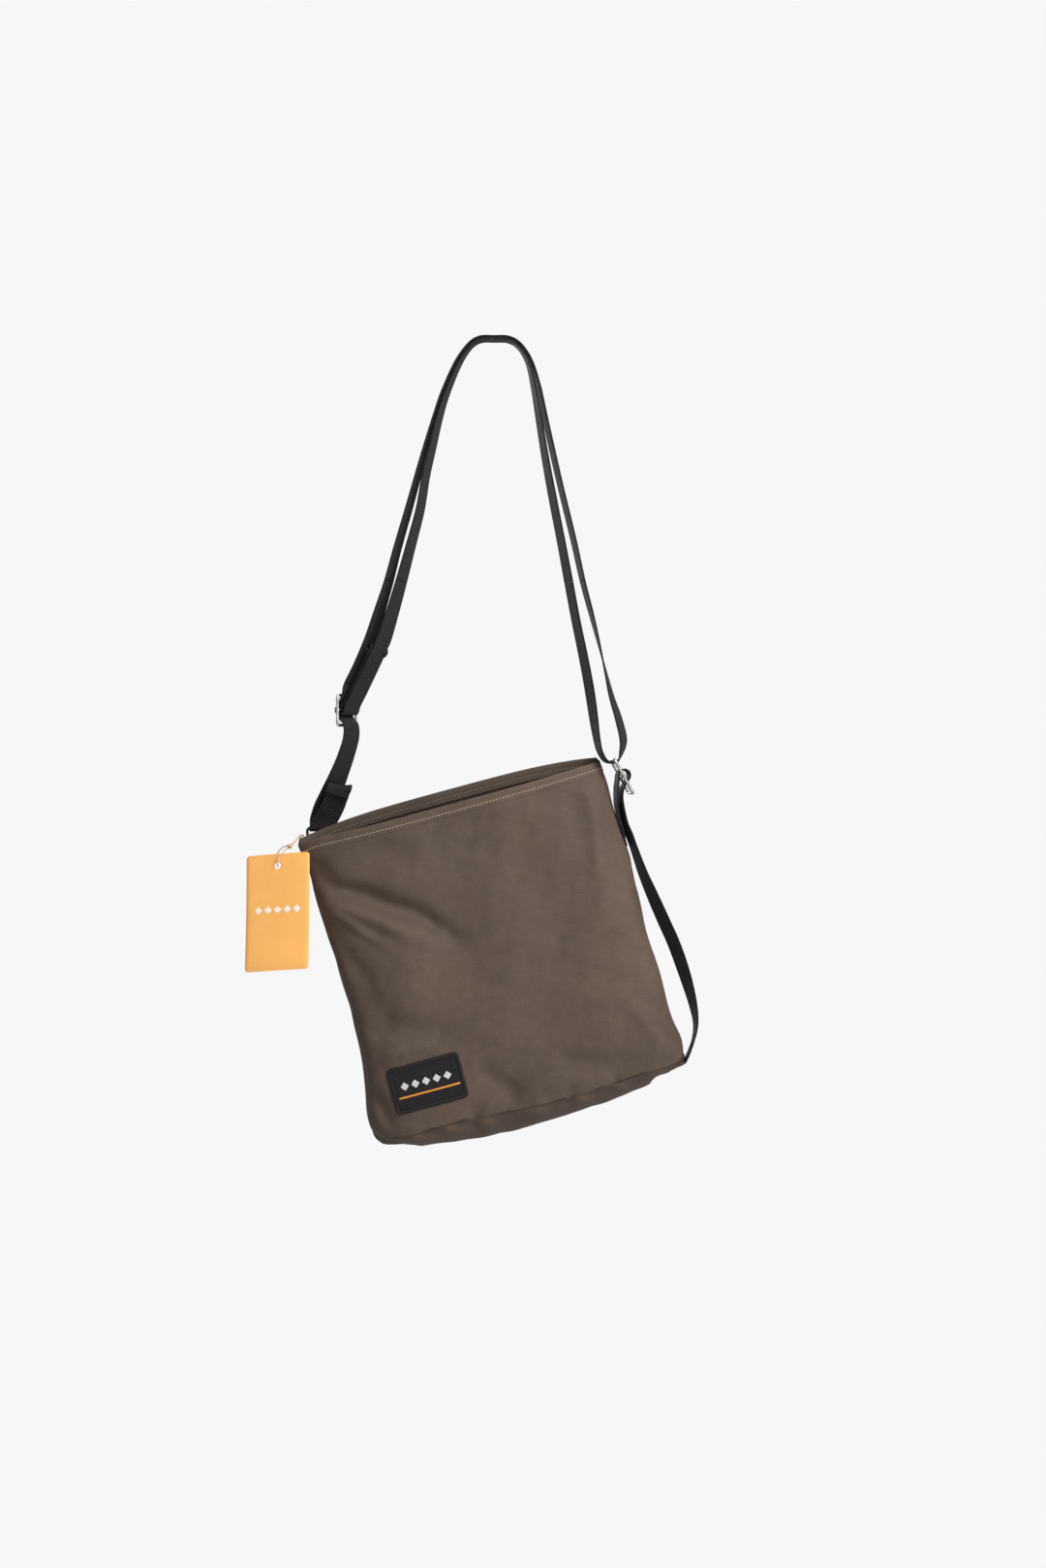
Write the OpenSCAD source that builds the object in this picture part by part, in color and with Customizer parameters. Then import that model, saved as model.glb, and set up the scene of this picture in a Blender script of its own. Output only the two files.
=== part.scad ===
// Small canvas messenger bag with an adjustable 20 mm webbing strap, as it hangs from a peg.
// Millimetres. X to the wearer's right, Y back towards the wall, Z up.
// The origin is the underside of the strap where it lies over the peg.

/* [Bag body] */
// Width of the bag along its rim
bag_w = 259; // [180:1:360]
// Height of the front panel from its rim to the base seam
bag_h = 258; // [180:1:360]
// Thickness of the hemmed canvas
cloth_t = 1.4; // [0.8:0.1:3]
// Depth of the mouth at the rim, outside
mouth_d = 28; // [15:1:80]
// Depth of the base, outside
base_d = 64; // [30:1:120]
// How far the back rim stands above the front rim
back_rise = 9; // [0:1:20]
// How far the base slopes down from front to back
base_drop = 10; // [0:1:25]
// Depth of the turned hem
hem_h = 9; // [5:0.5:20]
// Sideways tilt of the hanging bag, right side up
bag_tilt = 15.2; // [0:0.1:30]
// Middle of the front rim in the hanging frame
rim_x = -35.5; // [-80:0.5:80]
rim_z = -384.1; // [-500:0.1:-200]
// Outer face of the back panel
back_y = 18; // [0:0.5:40]

/* [Webbing] */
// Width of all webbing
web_w = 20; // [10:1:50]
// Thickness of all webbing
web_t = 1.5; // [0.8:0.1:4]
// Height at which the strap's firm upper runs meet its flexing lower runs
strap_cut_z = -200; // [-260:1:-120]

/* [Hardware] */
// Wire thickness of the three-bar slides
slide_wire = 3; // [2:0.1:5]
// Clear width between a slide's side rails
slide_gap = 21; // [20:0.5:52]
// Length of the right slide, along its rails
slide_len = 34.7; // [24:0.1:50]
// Length of the strap adjuster, along its rails
adjuster_len = 28; // [20:0.1:50]
// Wire thickness of the left ring
ring_wire = 2.5; // [2:0.1:5]
// Distance between the ring's two bars
ring_pitch = 7.6; // [7:0.1:30]

/* [Label and tag] */
// Woven label
label_w = 60.8; // [30:0.1:90]
label_h = 38.4; // [20:0.1:70]
label_x = -77.2; // [-110:0.1:110]
label_z = -214.6; // [-240:0.1:-20]
// Card tag
tag_w = 55; // [30:1:90]
tag_h = 98; // [50:1:140]
tag_t = 0.5; // [0.3:0.1:2]
// Hole in the tag and its distance from the top edge
tag_hole_d = 5.6; // [3:0.1:10]
tag_hole_drop = 10; // [6:0.5:20]
// Thickness of the twine
twine_d = 1.3; // [0.8:0.1:3]

/* [Hidden] */
$fn = 48;

canvas = "#5c5145";
canvas_inside = "#3f382f";
webbing = "#1d1b1d";
metal = "#b9b6b0";

half_w = bag_w / 2;
front_top_y = back_y - mouth_d;
front_bottom_y = back_y - base_d;
front_lean = (front_top_y - front_bottom_y) / bag_h;
base_z = -bag_h;
back_base_z = -bag_h - base_drop;
fit = 0.3;

// ---------- vectors and swept webbing ----------

function unit(v) = v / norm(v);
function xyz(p) = [p[0], p[1], p[2]];
function mix(a, b, t) = a + (b - a) * t;

// Catmull-Rom point between p[i] and p[i + 1]; every row holds x, y, z and its width's angle in plan.
function spline_row(p, i, t) =
    let (n = len(p) - 1,
         a = p[max(i - 1, 0)], b = p[i], c = p[min(i + 1, n)], d = p[min(i + 2, n)])
    0.5 * ((2 * b) + (c - a) * t + (2 * a - 5 * b + 4 * c - d) * t * t
           + (3 * b - a - 3 * c + d) * t * t * t);
function smooth(p, steps) = concat(
    [for (i = [0 : len(p) - 2]) for (k = [0 : steps - 1]) spline_row(p, i, k / steps)],
    [p[len(p) - 1]]);

function tangent(p, i) =
    unit(xyz(p[min(i + 1, len(p) - 1)]) - xyz(p[max(i - 1, 0)]));
// Width direction: level, turned from Y towards X by the row's angle, then squared to the run.
function across(p, i) =
    let (t = tangent(p, i), u = [sin(p[i][3]), cos(p[i][3]), 0])
    unit(u - (u * t) * t);
function ribbon_ring(p, i, w, t) =
    let (u = across(p, i) * w / 2, n = cross(tangent(p, i), across(p, i)) * t / 2, c = xyz(p[i]))
    [c + u + n, c - u + n, c - u - n, c + u - n];
function ring_faces(count, sides) = concat(
    [for (i = [1 : sides - 2]) [0, i, i + 1]],
    [for (s = [0 : count - 2]) for (k = [0 : sides - 1]) each
        let (a = s * sides + k, b = s * sides + (k + 1) % sides)
        [[a, a + sides, b], [b, a + sides, b + sides]]],
    [for (i = [1 : sides - 2])
        [(count - 1) * sides, (count - 1) * sides + i + 1, (count - 1) * sides + i]]);

// Flat webbing swept along rows of x, y, z, width angle. Rows before first and after last only
// steer the direction at the cut, so that pieces of one webbing meet face to face.
module ribbon(rows, first = 0, last = -1, w = web_w, t = web_t) {
    end = last < 0 ? len(rows) - 1 : last;
    polyhedron([for (i = [first : end]) each ribbon_ring(rows, i, w, t)],
               ring_faces(end - first + 1, 4), convexity = 10);
}

function cord_ring(p, i, r, sides) =
    let (t = tangent(p, i), u = unit(cross(t, abs(t[2]) > 0.9 ? [1, 0, 0] : [0, 0, 1])), v = cross(t, u))
    [for (k = [0 : sides - 1])
        xyz(p[i]) + r * (u * cos(360 * k / sides) + v * sin(360 * k / sides))];
module cord(rows, d, sides = 8) {
    polyhedron([for (i = [0 : len(rows) - 1]) each cord_ring(rows, i, d / 2, sides)],
               ring_faces(len(rows), sides), convexity = 10);
}

// ---------- bag body, in its own frame: x along the rim, z up ----------

module in_bag() translate([rim_x, 0, rim_z]) rotate([0, -bag_tilt, 0]) children();

// Extrudes an outline of y, z points along x.
module along_x(x0, x1, outline)
    translate([x0, 0, 0]) rotate([90, 0, 90]) linear_extrude(x1 - x0) polygon(outline);

function front_y(z) = front_top_y + front_lean * z;

module front_panel() color(canvas) in_bag() along_x(-half_w, half_w, [
    [front_top_y, 0], [front_top_y + cloth_t, 0],
    [front_y(base_z + cloth_t) + cloth_t, base_z + cloth_t], [front_bottom_y, base_z]]);

module back_panel() color(canvas) in_bag() along_x(-half_w, half_w, [
    [back_y - cloth_t, back_rise], [back_y, back_rise],
    [back_y, back_base_z], [back_y - cloth_t, back_base_z + cloth_t]]);

module base_panel() color(canvas) in_bag() along_x(-half_w, half_w, [
    [front_bottom_y, base_z], [front_y(base_z + cloth_t) + cloth_t, base_z + cloth_t],
    [back_y - cloth_t, back_base_z + cloth_t], [back_y, back_base_z]]);

gusset_outline = [
    [front_top_y, 0], [back_y, back_rise], [back_y, back_base_z], [front_bottom_y, base_z]];
module left_gusset() color(canvas) in_bag() along_x(-half_w - cloth_t, -half_w, gusset_outline);
module right_gusset() color(canvas) in_bag() along_x(half_w, half_w + cloth_t, gusset_outline);

module front_hem() color(canvas_inside) in_bag() along_x(-half_w + cloth_t, half_w - cloth_t, [
    [front_top_y + cloth_t, 0], [front_top_y + cloth_t + 1, 0],
    [front_y(-hem_h) + cloth_t + 1, -hem_h], [front_y(-hem_h) + cloth_t, -hem_h]]);

module back_hem() color(canvas_inside) in_bag() along_x(-half_w + cloth_t, half_w - cloth_t, [
    [back_y - cloth_t - 1, back_rise], [back_y - cloth_t, back_rise],
    [back_y - cloth_t, back_rise - hem_h], [back_y - cloth_t - 1, back_rise - hem_h]]);

side_hem_outline = [
    [front_top_y + 4.5, 2], [back_y - 4.5, back_rise - 2],
    [back_y - 4.5, back_rise - 2 - hem_h], [front_y(-hem_h) + 5, 1 - hem_h]];
module left_hem() color(canvas_inside) in_bag() along_x(-half_w, -half_w + 1, side_hem_outline);
module right_hem() color(canvas_inside) in_bag() along_x(half_w - 1, half_w, side_hem_outline);

// Bound seam allowance inside, down the front corner, along the base and up the back corner.
module seam_binding(x0, x1) {
    top = -hem_h - 2;
    b = cloth_t + 0.1;
    in_bag() difference() {
        along_x(x0, x1, [
            [front_y(top) + b, top], [back_y - b, top],
            [back_y - b, back_base_z + cloth_t + 1], [front_y(base_z) + b + 1, base_z + cloth_t + 1]]);
        along_x(x0 - 1, x1 + 1, [
            [front_y(top) + b + 1.2, top + 1], [back_y - b - 1.2, top + 1],
            [back_y - b - 1.2, back_base_z + cloth_t + 2.6],
            [front_y(base_z) + b + 2.6, base_z + cloth_t + 2.4]]);
    }
}
module left_seam_binding() color(canvas_inside) seam_binding(-half_w + 1, -half_w + 9);
module right_seam_binding() color(canvas_inside) seam_binding(half_w - 9, half_w - 1);

// ---------- woven label on the front panel ----------

module on_front(x, z) in_bag() translate([x, front_y(z), z])
    rotate([90 - atan(front_lean), 0, 0]) children();

module label_ground() color("#1b1b1d") on_front(label_x, label_z)
    linear_extrude(0.7) square([label_w - 6, label_h - 6], center = true);
module label_border() color("#232324") on_front(label_x, label_z) linear_extrude(1.5) difference() {
    square([label_w, label_h], center = true);
    square([label_w - 6, label_h - 6], center = true);
}
module label_line() color("#d98b3a") on_front(label_x, label_z) translate([0.3, -6.3, 0.7])
    linear_extrude(0.35) square([51.5, 1.5], center = true);
module label_motif() color("#e8e6e0") on_front(label_x, label_z) translate([-0.5, 2.4, 0.7])
    linear_extrude(0.35) for (k = [-2 : 2]) translate([k * 9, 0]) circle(d = 7, $fn = 4);

// ---------- left anchor: tab, ring ----------

ring_x = -145;
ring_y = back_y + 0.8 + web_t + ring_wire / 2;
ring_low_z = -412.5;
ring_z = ring_low_z + ring_pitch;
ring_half = web_w / 2 + 0.6 + ring_wire / 2;

module left_ring() color("#2b2b2e") translate([ring_x, ring_y, ring_low_z]) {
    for (z = [0, ring_pitch]) translate([-ring_half, 0, z])
        rotate([0, 90, 0]) cylinder(d = ring_wire, h = 2 * ring_half);
    for (x = [-ring_half, ring_half]) translate([x, 0, 0]) {
        cylinder(d = ring_wire, h = ring_pitch);
        for (z = [0, ring_pitch]) translate([0, 0, z]) sphere(d = ring_wire);
    }
}

loop_in = ring_wire / 2 + fit;
// Tab folded round the ring's lower bar and sewn on the back panel's outer face.
module left_tab() color(webbing) translate([ring_x - web_w / 2, 0, ring_low_z])
    rotate([90, 0, 90]) linear_extrude(web_w) {
        difference() {
            translate([ring_y, 0]) circle(r = loop_in + web_t);
            translate([ring_y, 0]) circle(r = loop_in);
            translate([ring_y - 5, -10]) square([10, 10]);
        }
        for (s = [-1, 1]) translate([ring_y + s * (loop_in + web_t / 2) - web_t / 2, -4.5])
            square([web_t, 4.5]);
        polygon([
            [ring_y + loop_in, -4.5], [ring_y + loop_in + web_t, -4.5],
            [back_y + 2 * web_t + 0.02, -9], [back_y + 2 * web_t + 0.02, -30],
            [back_y + 0.02, -30], [back_y + 0.02, -8],
            [ring_y - loop_in - web_t, -4.5], [ring_y - loop_in, -4.5],
            [ring_y, -7]]);
    }

// A box of stitches with a cross in it, standing 0.25 mm proud.
module box_stitch(w, h) linear_extrude(0.25) {
    difference() {
        square([w, h], center = true);
        square([w - 1.2, h - 1.2], center = true);
    }
    a = atan2(h - 1, w - 1);
    for (s = [-1, 1]) rotate(s * a) square([norm([w - 1.4, h - 1.4]), 0.6], center = true);
}
module left_tab_stitching() color("#3a383a")
    translate([ring_x, back_y + 2 * web_t + 0.02, ring_low_z - 20]) rotate([-90, 0, 0]) box_stitch(15, 14);

// ---------- right anchor: three-bar slide and side strap ----------

// Three-bar slide: bars along y, rails along z.
module three_bar_slide(length) {
    pitch = (length - slide_wire) / 2;
    rail_y = slide_gap / 2 + slide_wire / 2;
    for (s = [-1, 1]) translate([0, s * rail_y, 0]) {
        translate([0, 0, -pitch]) cylinder(d = slide_wire, h = 2 * pitch);
        for (z = [-pitch, pitch]) translate([0, 0, z]) sphere(d = slide_wire);
    }
    for (z = [-pitch, 0, pitch]) translate([0, -rail_y, z])
        rotate([-90, 0, 0]) cylinder(d = slide_wire, h = 2 * rail_y);
}

slide_c = [106.2, 4, -361.6];
slide_lean = 28.9;
bar_pitch = (slide_len - slide_wire) / 2;
top_bar = slide_c + bar_pitch * [-sin(slide_lean), 0, cos(slide_lean)];

module right_slide() color(metal) translate(slide_c) rotate([0, -slide_lean, 0])
    three_bar_slide(slide_len);

wrap_r = slide_wire / 2 + fit + web_t / 2;
function around(c, r, a) = [c[0] + r * cos(a), c[1], c[2] + r * sin(a), 0];

// Foot of the tab on the gusset's outer face, s millimetres down from the front rim.
function on_side(s, lift) = [
    rim_x + (half_w + cloth_t + lift) * cos(bag_tilt) + s * sin(bag_tilt),
    slide_c[1],
    rim_z + (half_w + cloth_t + lift) * sin(bag_tilt) - s * cos(bag_tilt), 0];

side_lift = web_t / 2 + 0.15;
side_strap_rows = concat(
    smooth([on_side(72, side_lift), on_side(54, side_lift), on_side(36, side_lift + 0.1),
            [101.8, 4, -372, 0], [102.4, 4, -365.5, 0]], 4),
    [for (a = [188 : -26 : -72]) around(slide_c, wrap_r, a)],
    smooth([[105.9, 4, -368.2, 0], [105.7, 4, -377, 0], [107.6, 4, -386, 0], [111.6, 3.6, -400, -6],
            [118.2, 2.5, -420, -14], [126.8, 0, -444, -24], [138.6, -4, -471, -34],
            [149.8, -7, -498, -38], [159, -9, -525, -34], [166, -11, -550, -18], [168.9, -12, -568, -6],
            [167.4, -13, -580, 0], [163.8, -13, -592, 0], [160.8, -13, -600, 0]], 4));
module right_side_strap() color(webbing) ribbon(side_strap_rows);

module right_tab_stitching() color("#3a383a") in_bag()
    translate([half_w + cloth_t + web_t + 0.16, slide_c[1], -57]) rotate([0, 90, 0]) box_stitch(20, 14);

// ---------- shoulder strap ----------
// Rows are x, y, z and the angle in plan of the webbing's width, from Y towards X.

crown_outer = [
    [-87.8, 3.2, strap_cut_z, 18], [-80.4, 2.6, -172, 15], [-70.6, 1.8, -138, 13], [-62.8, 1.2, -110, 11],
    [-55.2, 0.8, -84, 10], [-48.4, 0.5, -62, 9], [-42.2, 0.2, -43, 7], [-31.6, 0, -18.6, 4],
    [-21.4, 0, -3.6, 0], [-12, 0, 2.2, 0], [0, 0, 2.6, 0], [12, 0, 2.2, 0],
    [22, 0, -3.4, 0], [30.6, 0, -17, -4], [37, 0, -38, -7], [41.6, 0.4, -60, -9],
    [48.6, 1, -92, -10], [56, 1.6, -124, -10], [66.2, 2.4, -166, -10], [73.8, 3, strap_cut_z, -9]];
crown_inner = [
    [-77.2, 0.6, strap_cut_z, 24], [-69.2, 0.4, -170, 20], [-61.4, 0.3, -140, 17], [-56.6, 0.2, -112, 15],
    [-50.8, 0.1, -87, 13], [-45.4, 0, -64, 11], [-39.4, 0, -44.6, 8], [-29.2, 0, -20.4, 4],
    [-19.8, 0, -5.8, 0], [-11.4, 0, 0.2, 0], [0, 0, 0.75, 0], [11.4, 0, 0.2, 0],
    [20.2, 0, -5.4, 0], [28, 0, -18.6, -5], [33, 0, -40, -9], [36.8, 0.2, -62, -12],
    [42, 0.6, -94, -14], [48.2, 1, -128, -16], [56.4, 1.8, -170, -17], [62, 2.4, strap_cut_z, -18]];
// Bight that hangs round the right slide's top bar, from the inner run to the outer run.
bight_low = top_bar - [0, 0, slide_wire / 2 + fit + web_t / 2];
bight = [
    [68, 2.8, -232, -18], [74.2, 3.2, -262, -19], [79.4, 3.6, -290, -20], [83, 3.9, -313, -17],
    [85.9, 3.8, -328, -9], [89.9, 3.6, -339, -3],
    [bight_low[0] - 4.2, 4, bight_low[2] + 1.4, 0], [bight_low[0], 4, bight_low[2], 0],
    [bight_low[0] + 4.4, 4, bight_low[2] + 1.4, 0],
    [106.6, 4, -341.5, 3], [108.4, 4, -331, 10], [106.8, 4, -314, 14], [101.4, 3.8, -296, 12],
    [95.4, 3.6, -276, 6], [88.8, 3.4, -254, -1], [81.4, 3.2, -228, -7]];

// Strap adjuster: its bars run from front left to back right, its rails stand upright.
adj_c = [-123, 9, -306.6];
adj_turn = 36;
adj_n = [cos(adj_turn), -sin(adj_turn), 0];
adj_pitch = (adjuster_len - slide_wire) / 2;
// A point of the weave, out along the adjuster's face by n and up by v.
function adj(n, v) = [adj_c[0] + n * adj_n[0], adj_c[1] + n * adj_n[1], adj_c[2] + v, adj_turn];

module adjuster_slide() color(metal) translate(adj_c) rotate([0, 0, -adj_turn])
    three_bar_slide(adjuster_len);

// The whole shoulder strap above the adjuster, in its own order: up the inner run, round the right
// slide and back over the outer run. The first and last rows belong to the webbing beyond.
left_inner = [[-93.5, -1.8, -253, 33], [-90, -1, -244, 32], [-83.4, 0, -222, 28]];
left_outer = [[-94.6, 3.8, -222, 23], [-102.4, 4.6, -247, 29], [-111, 5.2, -269, 34], adj(5.2, 21)];
strap_steps = 4;
strap_rows = smooth(concat(
    [[-99.4, -1, -265.8, 35]], left_inner, crown_inner, bight,
    [for (i = [len(crown_outer) - 1 : -1 : 0]) crown_outer[i]], left_outer, [adj(4.6, 15)]), strap_steps);
inner_at = 1 + len(left_inner);
bight_at = inner_at + len(crown_inner) - 1;
outer_at = bight_at + len(bight) + 1;
left_at = outer_at + len(crown_outer) - 1;
strap_top_at = left_at + len(left_outer);
module strap_piece(from, to) color(webbing) ribbon(strap_rows, from * strap_steps, to * strap_steps);
module strap_left_inner() strap_piece(1, inner_at);
module strap_inner_run() strap_piece(inner_at, bight_at);
module strap_right_bight() strap_piece(bight_at, outer_at);
module strap_outer_run() strap_piece(outer_at, left_at);
module strap_left_outer() strap_piece(left_at, strap_top_at);

weave_r = slide_wire / 2 + 2 * fit + 1.5 * web_t;
weave_rows = concat(
    smooth([[-111, 5.2, -269, 34], adj(5.2, 20.6), adj(3.6, 15), adj(0.8, 8.6), adj(-1.4, 5.6)], 4),
    [for (a = [112 : 17 : 248]) adj(weave_r * cos(a), weave_r * sin(a))],
    smooth([adj(-1.4, -5.6), adj(0.8, -8), adj(3.9, -11), adj(5, -16), [-119.8, 7.6, -332, 38]], 4));
module strap_weave() color(webbing) ribbon(weave_rows, 4, len(weave_rows) - 5);

// Sewn end: down the front, round the middle bar and back up behind itself to a folded tail.
end_r = slide_wire / 2 + fit + web_t / 2;
stitch_n = unit([0.72, -0.62, -0.3]);
stitch_u = unit(cross([0.44, -0.12, 0.89], stitch_n));
stitch_v = cross(stitch_n, stitch_u);
end_rows = concat(
    smooth([[-90, -1, -244, 32], [-93.7, -1.9, -253.5, 33], [-99.4, -1, -265.8, 35], [-106, 1, -279.4, 36],
            [-112.4, 3.6, -292.4, 36], adj(6.6, 4), adj(4.6, -1.4), adj(2.4, -3.4)], 4),
    [for (a = [-78 : -22 : -276]) adj(end_r * cos(a), end_r * sin(a))],
    smooth([adj(2.4, 3.6), [-118, 6.5, -298.8, 36], [-114.1, 4.9, -292, 36], [-107.7, 2.3, -279, 36],
            [-101.1, 0.3, -265.4, 35], [-97.6, -0.4, -258.4, 34]], 4));
module strap_end() color(webbing) {
    ribbon(end_rows, 4);
    // folded tip of the tail
    ribbon([[-102.6, 1.4, -265.4, 35], [-99.1, 0.8, -258.2, 34]]);
}
module strap_end_stitching() color("#3a383a") translate([-102.4, -0.4, -272])
    multmatrix([for (r = [0 : 2]) [stitch_u[r], stitch_v[r], stitch_n[r], 0]])
        translate([0, 0, web_t / 2 - 0.15]) box_stitch(13, 13);

// Lower run from the adjuster to the left ring, round the ring's upper bar, with a rolled tail.
bar_r = ring_wire / 2 + fit + web_t / 2;
function ring_wrap(a) = [ring_x, ring_y + bar_r * cos(a), ring_z + bar_r * sin(a), 90];
lower_cut = 20;
lower_rows = concat(
    smooth([adj(4.6, -11), adj(5.2, -16.5), [-119.8, 7.6, -332, 38], [-124.4, 10.4, -346.4, 42],
            [-130.2, 14, -360.8, 50], [-136, 17.6, -374, 60], [-141.6, 20.6, -386, 66],
            [-145.2, ring_y + bar_r, -399, 87]], 4),
    [for (a = [0 : -20 : -180]) ring_wrap(a)],
    smooth([[ring_x, ring_y - bar_r, -402, 90], [-144.3, 19.1, -397.6, 90], [-141, 17.6, -392, 86],
            [-136.2, 15.2, -385.6, 79], [-132.4, 12.6, -380, 74], [-129.2, 10.4, -372, 73]], 4));
module strap_lower() color(webbing) ribbon(lower_rows, 4, lower_cut);
module strap_anchor_loop() color(webbing) {
    ribbon(lower_rows, lower_cut);
    // rolled end of the tail
    ribbon([[-130.8, 9.9, -378.2, 73], [-128.6, 8.4, -372.8, 73]], t = 3.2);
}
anchor_n = unit([0.168, -0.86, -0.479]);
anchor_u = unit(cross([0.551, -0.32, 0.769], anchor_n));
anchor_v = cross(anchor_n, anchor_u);
module strap_anchor_stitching() color("#3a383a") translate([-136.2, 15.2, -385.6])
    multmatrix([for (r = [0 : 2]) [anchor_u[r], anchor_v[r], anchor_n[r], 0]])
        translate([0, 0, web_t / 2 - 0.1]) box_stitch(14, 5);

// ---------- card tag on twine ----------

hole_c = [-178.6, -10.6, -435.6];
tag_across = [0.968, -0.243, 0.076];
tag_up = [-0.011, 0.259, 0.966];
tag_out = cross(tag_across, tag_up);
module on_tag() multmatrix([for (r = [0 : 2])
    [tag_across[r], tag_up[r], tag_out[r], hole_c[r]]]) children();

module tag_card() color("#f6b25e") on_tag() linear_extrude(tag_t) difference() {
    r = 2.5;
    translate([-tag_w / 2 + r, tag_hole_drop - tag_h + r])
        offset(r) square([tag_w - 2 * r, tag_h - 2 * r]);
    circle(d = tag_hole_d);
}
module tag_motif() color("#f7f1e6") on_tag() translate([0, -37, tag_t]) linear_extrude(0.1)
    for (k = [-2 : 2]) translate([k * 8.4, 0]) circle(d = 6.6, $fn = 4);

knot = [-168.8, -8.4, -419.4];
// Doubled twine from the left tab over the corner of the rim to the knot.
twine_loop = [
    [-152.5, 26, -418, 0], [-156.8, 25.6, -414.6, 0], [-160, 22.4, -409, 0], [-161.8, 17, -407, 0],
    [-163.4, 9, -407.4, 0], [-164.8, 2, -409.6, 0], [-166.2, -4, -413.2, 0], [-167.8, -7.2, -417, 0],
    [-168.8, -8.4, -419.4, 0]];
twine_drop = [
    [-169.8, -9, -421, 0], [-172.6, -11.8, -426.2, 0], [-176, -13.4, -431.6, 0], [-178.2, -12.8, -435, 0],
    [-178.8, -10.2, -435.7, 0], [-178.6, -7.2, -434.4, 0], [-176.6, -5.8, -430.6, 0],
    [-173, -6, -425.4, 0], [-171, -7, -422, 0]];
module tag_twine_loop() color("#cdb591") {
    cord(smooth(twine_loop, 3), twine_d);
    translate(knot) sphere(d = 3.2, $fn = 12);
}
module tag_twine_drop() color("#cdb591") cord(smooth(twine_drop, 3), twine_d);

front_panel();
back_panel();
left_gusset();
right_gusset();
base_panel();
front_hem();
back_hem();
left_hem();
right_hem();
left_seam_binding();
right_seam_binding();
label_ground();
label_border();
label_line();
label_motif();
left_tab();
left_tab_stitching();
left_ring();
right_side_strap();
right_tab_stitching();
right_slide();
strap_outer_run();
strap_inner_run();
strap_left_outer();
strap_left_inner();
strap_right_bight();
strap_lower();
strap_anchor_loop();
strap_anchor_stitching();
adjuster_slide();
strap_weave();
strap_end();
strap_end_stitching();
tag_card();
tag_motif();
tag_twine_loop();
tag_twine_drop();
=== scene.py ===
# Looks of the hanging messenger bag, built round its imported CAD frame.
import math

import bpy
import numpy as np
from mathutils import Euler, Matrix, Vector
from mathutils.bvhtree import BVHTree


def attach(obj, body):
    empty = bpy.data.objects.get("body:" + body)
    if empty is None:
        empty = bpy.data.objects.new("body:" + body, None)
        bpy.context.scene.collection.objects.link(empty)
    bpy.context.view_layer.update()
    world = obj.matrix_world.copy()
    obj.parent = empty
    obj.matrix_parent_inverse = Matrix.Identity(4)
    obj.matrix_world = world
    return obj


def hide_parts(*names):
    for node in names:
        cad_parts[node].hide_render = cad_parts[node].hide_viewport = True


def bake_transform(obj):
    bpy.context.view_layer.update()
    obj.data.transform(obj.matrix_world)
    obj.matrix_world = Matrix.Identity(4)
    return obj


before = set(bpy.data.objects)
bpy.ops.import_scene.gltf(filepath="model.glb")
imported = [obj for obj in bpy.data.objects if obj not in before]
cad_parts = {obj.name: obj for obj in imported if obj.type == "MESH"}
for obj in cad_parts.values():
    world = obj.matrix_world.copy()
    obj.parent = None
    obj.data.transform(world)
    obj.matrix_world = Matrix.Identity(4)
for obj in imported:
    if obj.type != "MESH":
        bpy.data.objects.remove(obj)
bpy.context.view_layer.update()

MM = 0.001

# ----- camera and light -----

CAMERA_AT = (0.024, -2.176, -0.368)
FOCUS_Y = -0.012
FRAME_HEIGHT = 1.2952
SENSOR = 36.0
LIT_POINT = (0, 0, -0.45)
BACKDROP, AMBIENT = 0.935, 0.34


def make_camera():
    data = bpy.data.cameras.new("camera")
    data.sensor_width = SENSOR
    data.lens = SENSOR * (FOCUS_Y - CAMERA_AT[1]) / FRAME_HEIGHT
    camera = bpy.data.objects.new("camera", data)
    camera.location = CAMERA_AT
    camera.rotation_euler = (math.pi / 2, 0, 0)
    bpy.context.scene.collection.objects.link(camera)
    bpy.context.scene.camera = camera


def make_light(name, place, size, watts):
    data = bpy.data.lights.new(name, "AREA")
    data.shape = "DISK"
    data.size = size
    data.energy = watts
    lamp = bpy.data.objects.new(name, data)
    lamp.location = place
    aim = Vector(LIT_POINT) - Vector(place)
    lamp.rotation_euler = aim.to_track_quat("-Z", "Y").to_euler()
    bpy.context.scene.collection.objects.link(lamp)


def make_world():
    """A plain backdrop, brighter to the camera than as a light."""
    world = bpy.data.worlds.new("studio")
    bpy.context.scene.world = world
    world.use_nodes = True
    nodes, links = world.node_tree.nodes, world.node_tree.links
    back = nodes["Background"]
    back.inputs["Color"].default_value = (1, 0.995, 1, 1)
    ray = nodes.new("ShaderNodeLightPath")
    level = nodes.new("ShaderNodeMix")
    level.inputs["A"].default_value = AMBIENT
    level.inputs["B"].default_value = BACKDROP
    links.new(ray.outputs["Is Camera Ray"], level.inputs["Factor"])
    links.new(level.outputs["Result"], back.inputs["Strength"])


def make_stage():
    bpy.context.scene.view_settings.view_transform = "Standard"
    make_world()
    make_light("key", (0.72, -0.98, 0.7), 0.8, 25.5)
    make_light("fill", (1.9, -1.9, -0.2), 1.6, 15)
    make_light("left", (-1.9, -1.7, 0.2), 1.6, 3)
    make_light("bounce", (0.8, -1.2, -1.7), 1.4, 10)
    make_light("back", (-0.6, 2.0, 0.3), 1.6, 14)


make_camera()
make_stage()

# ----- materials -----


BAG_TILT = math.radians(15.2)


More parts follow.
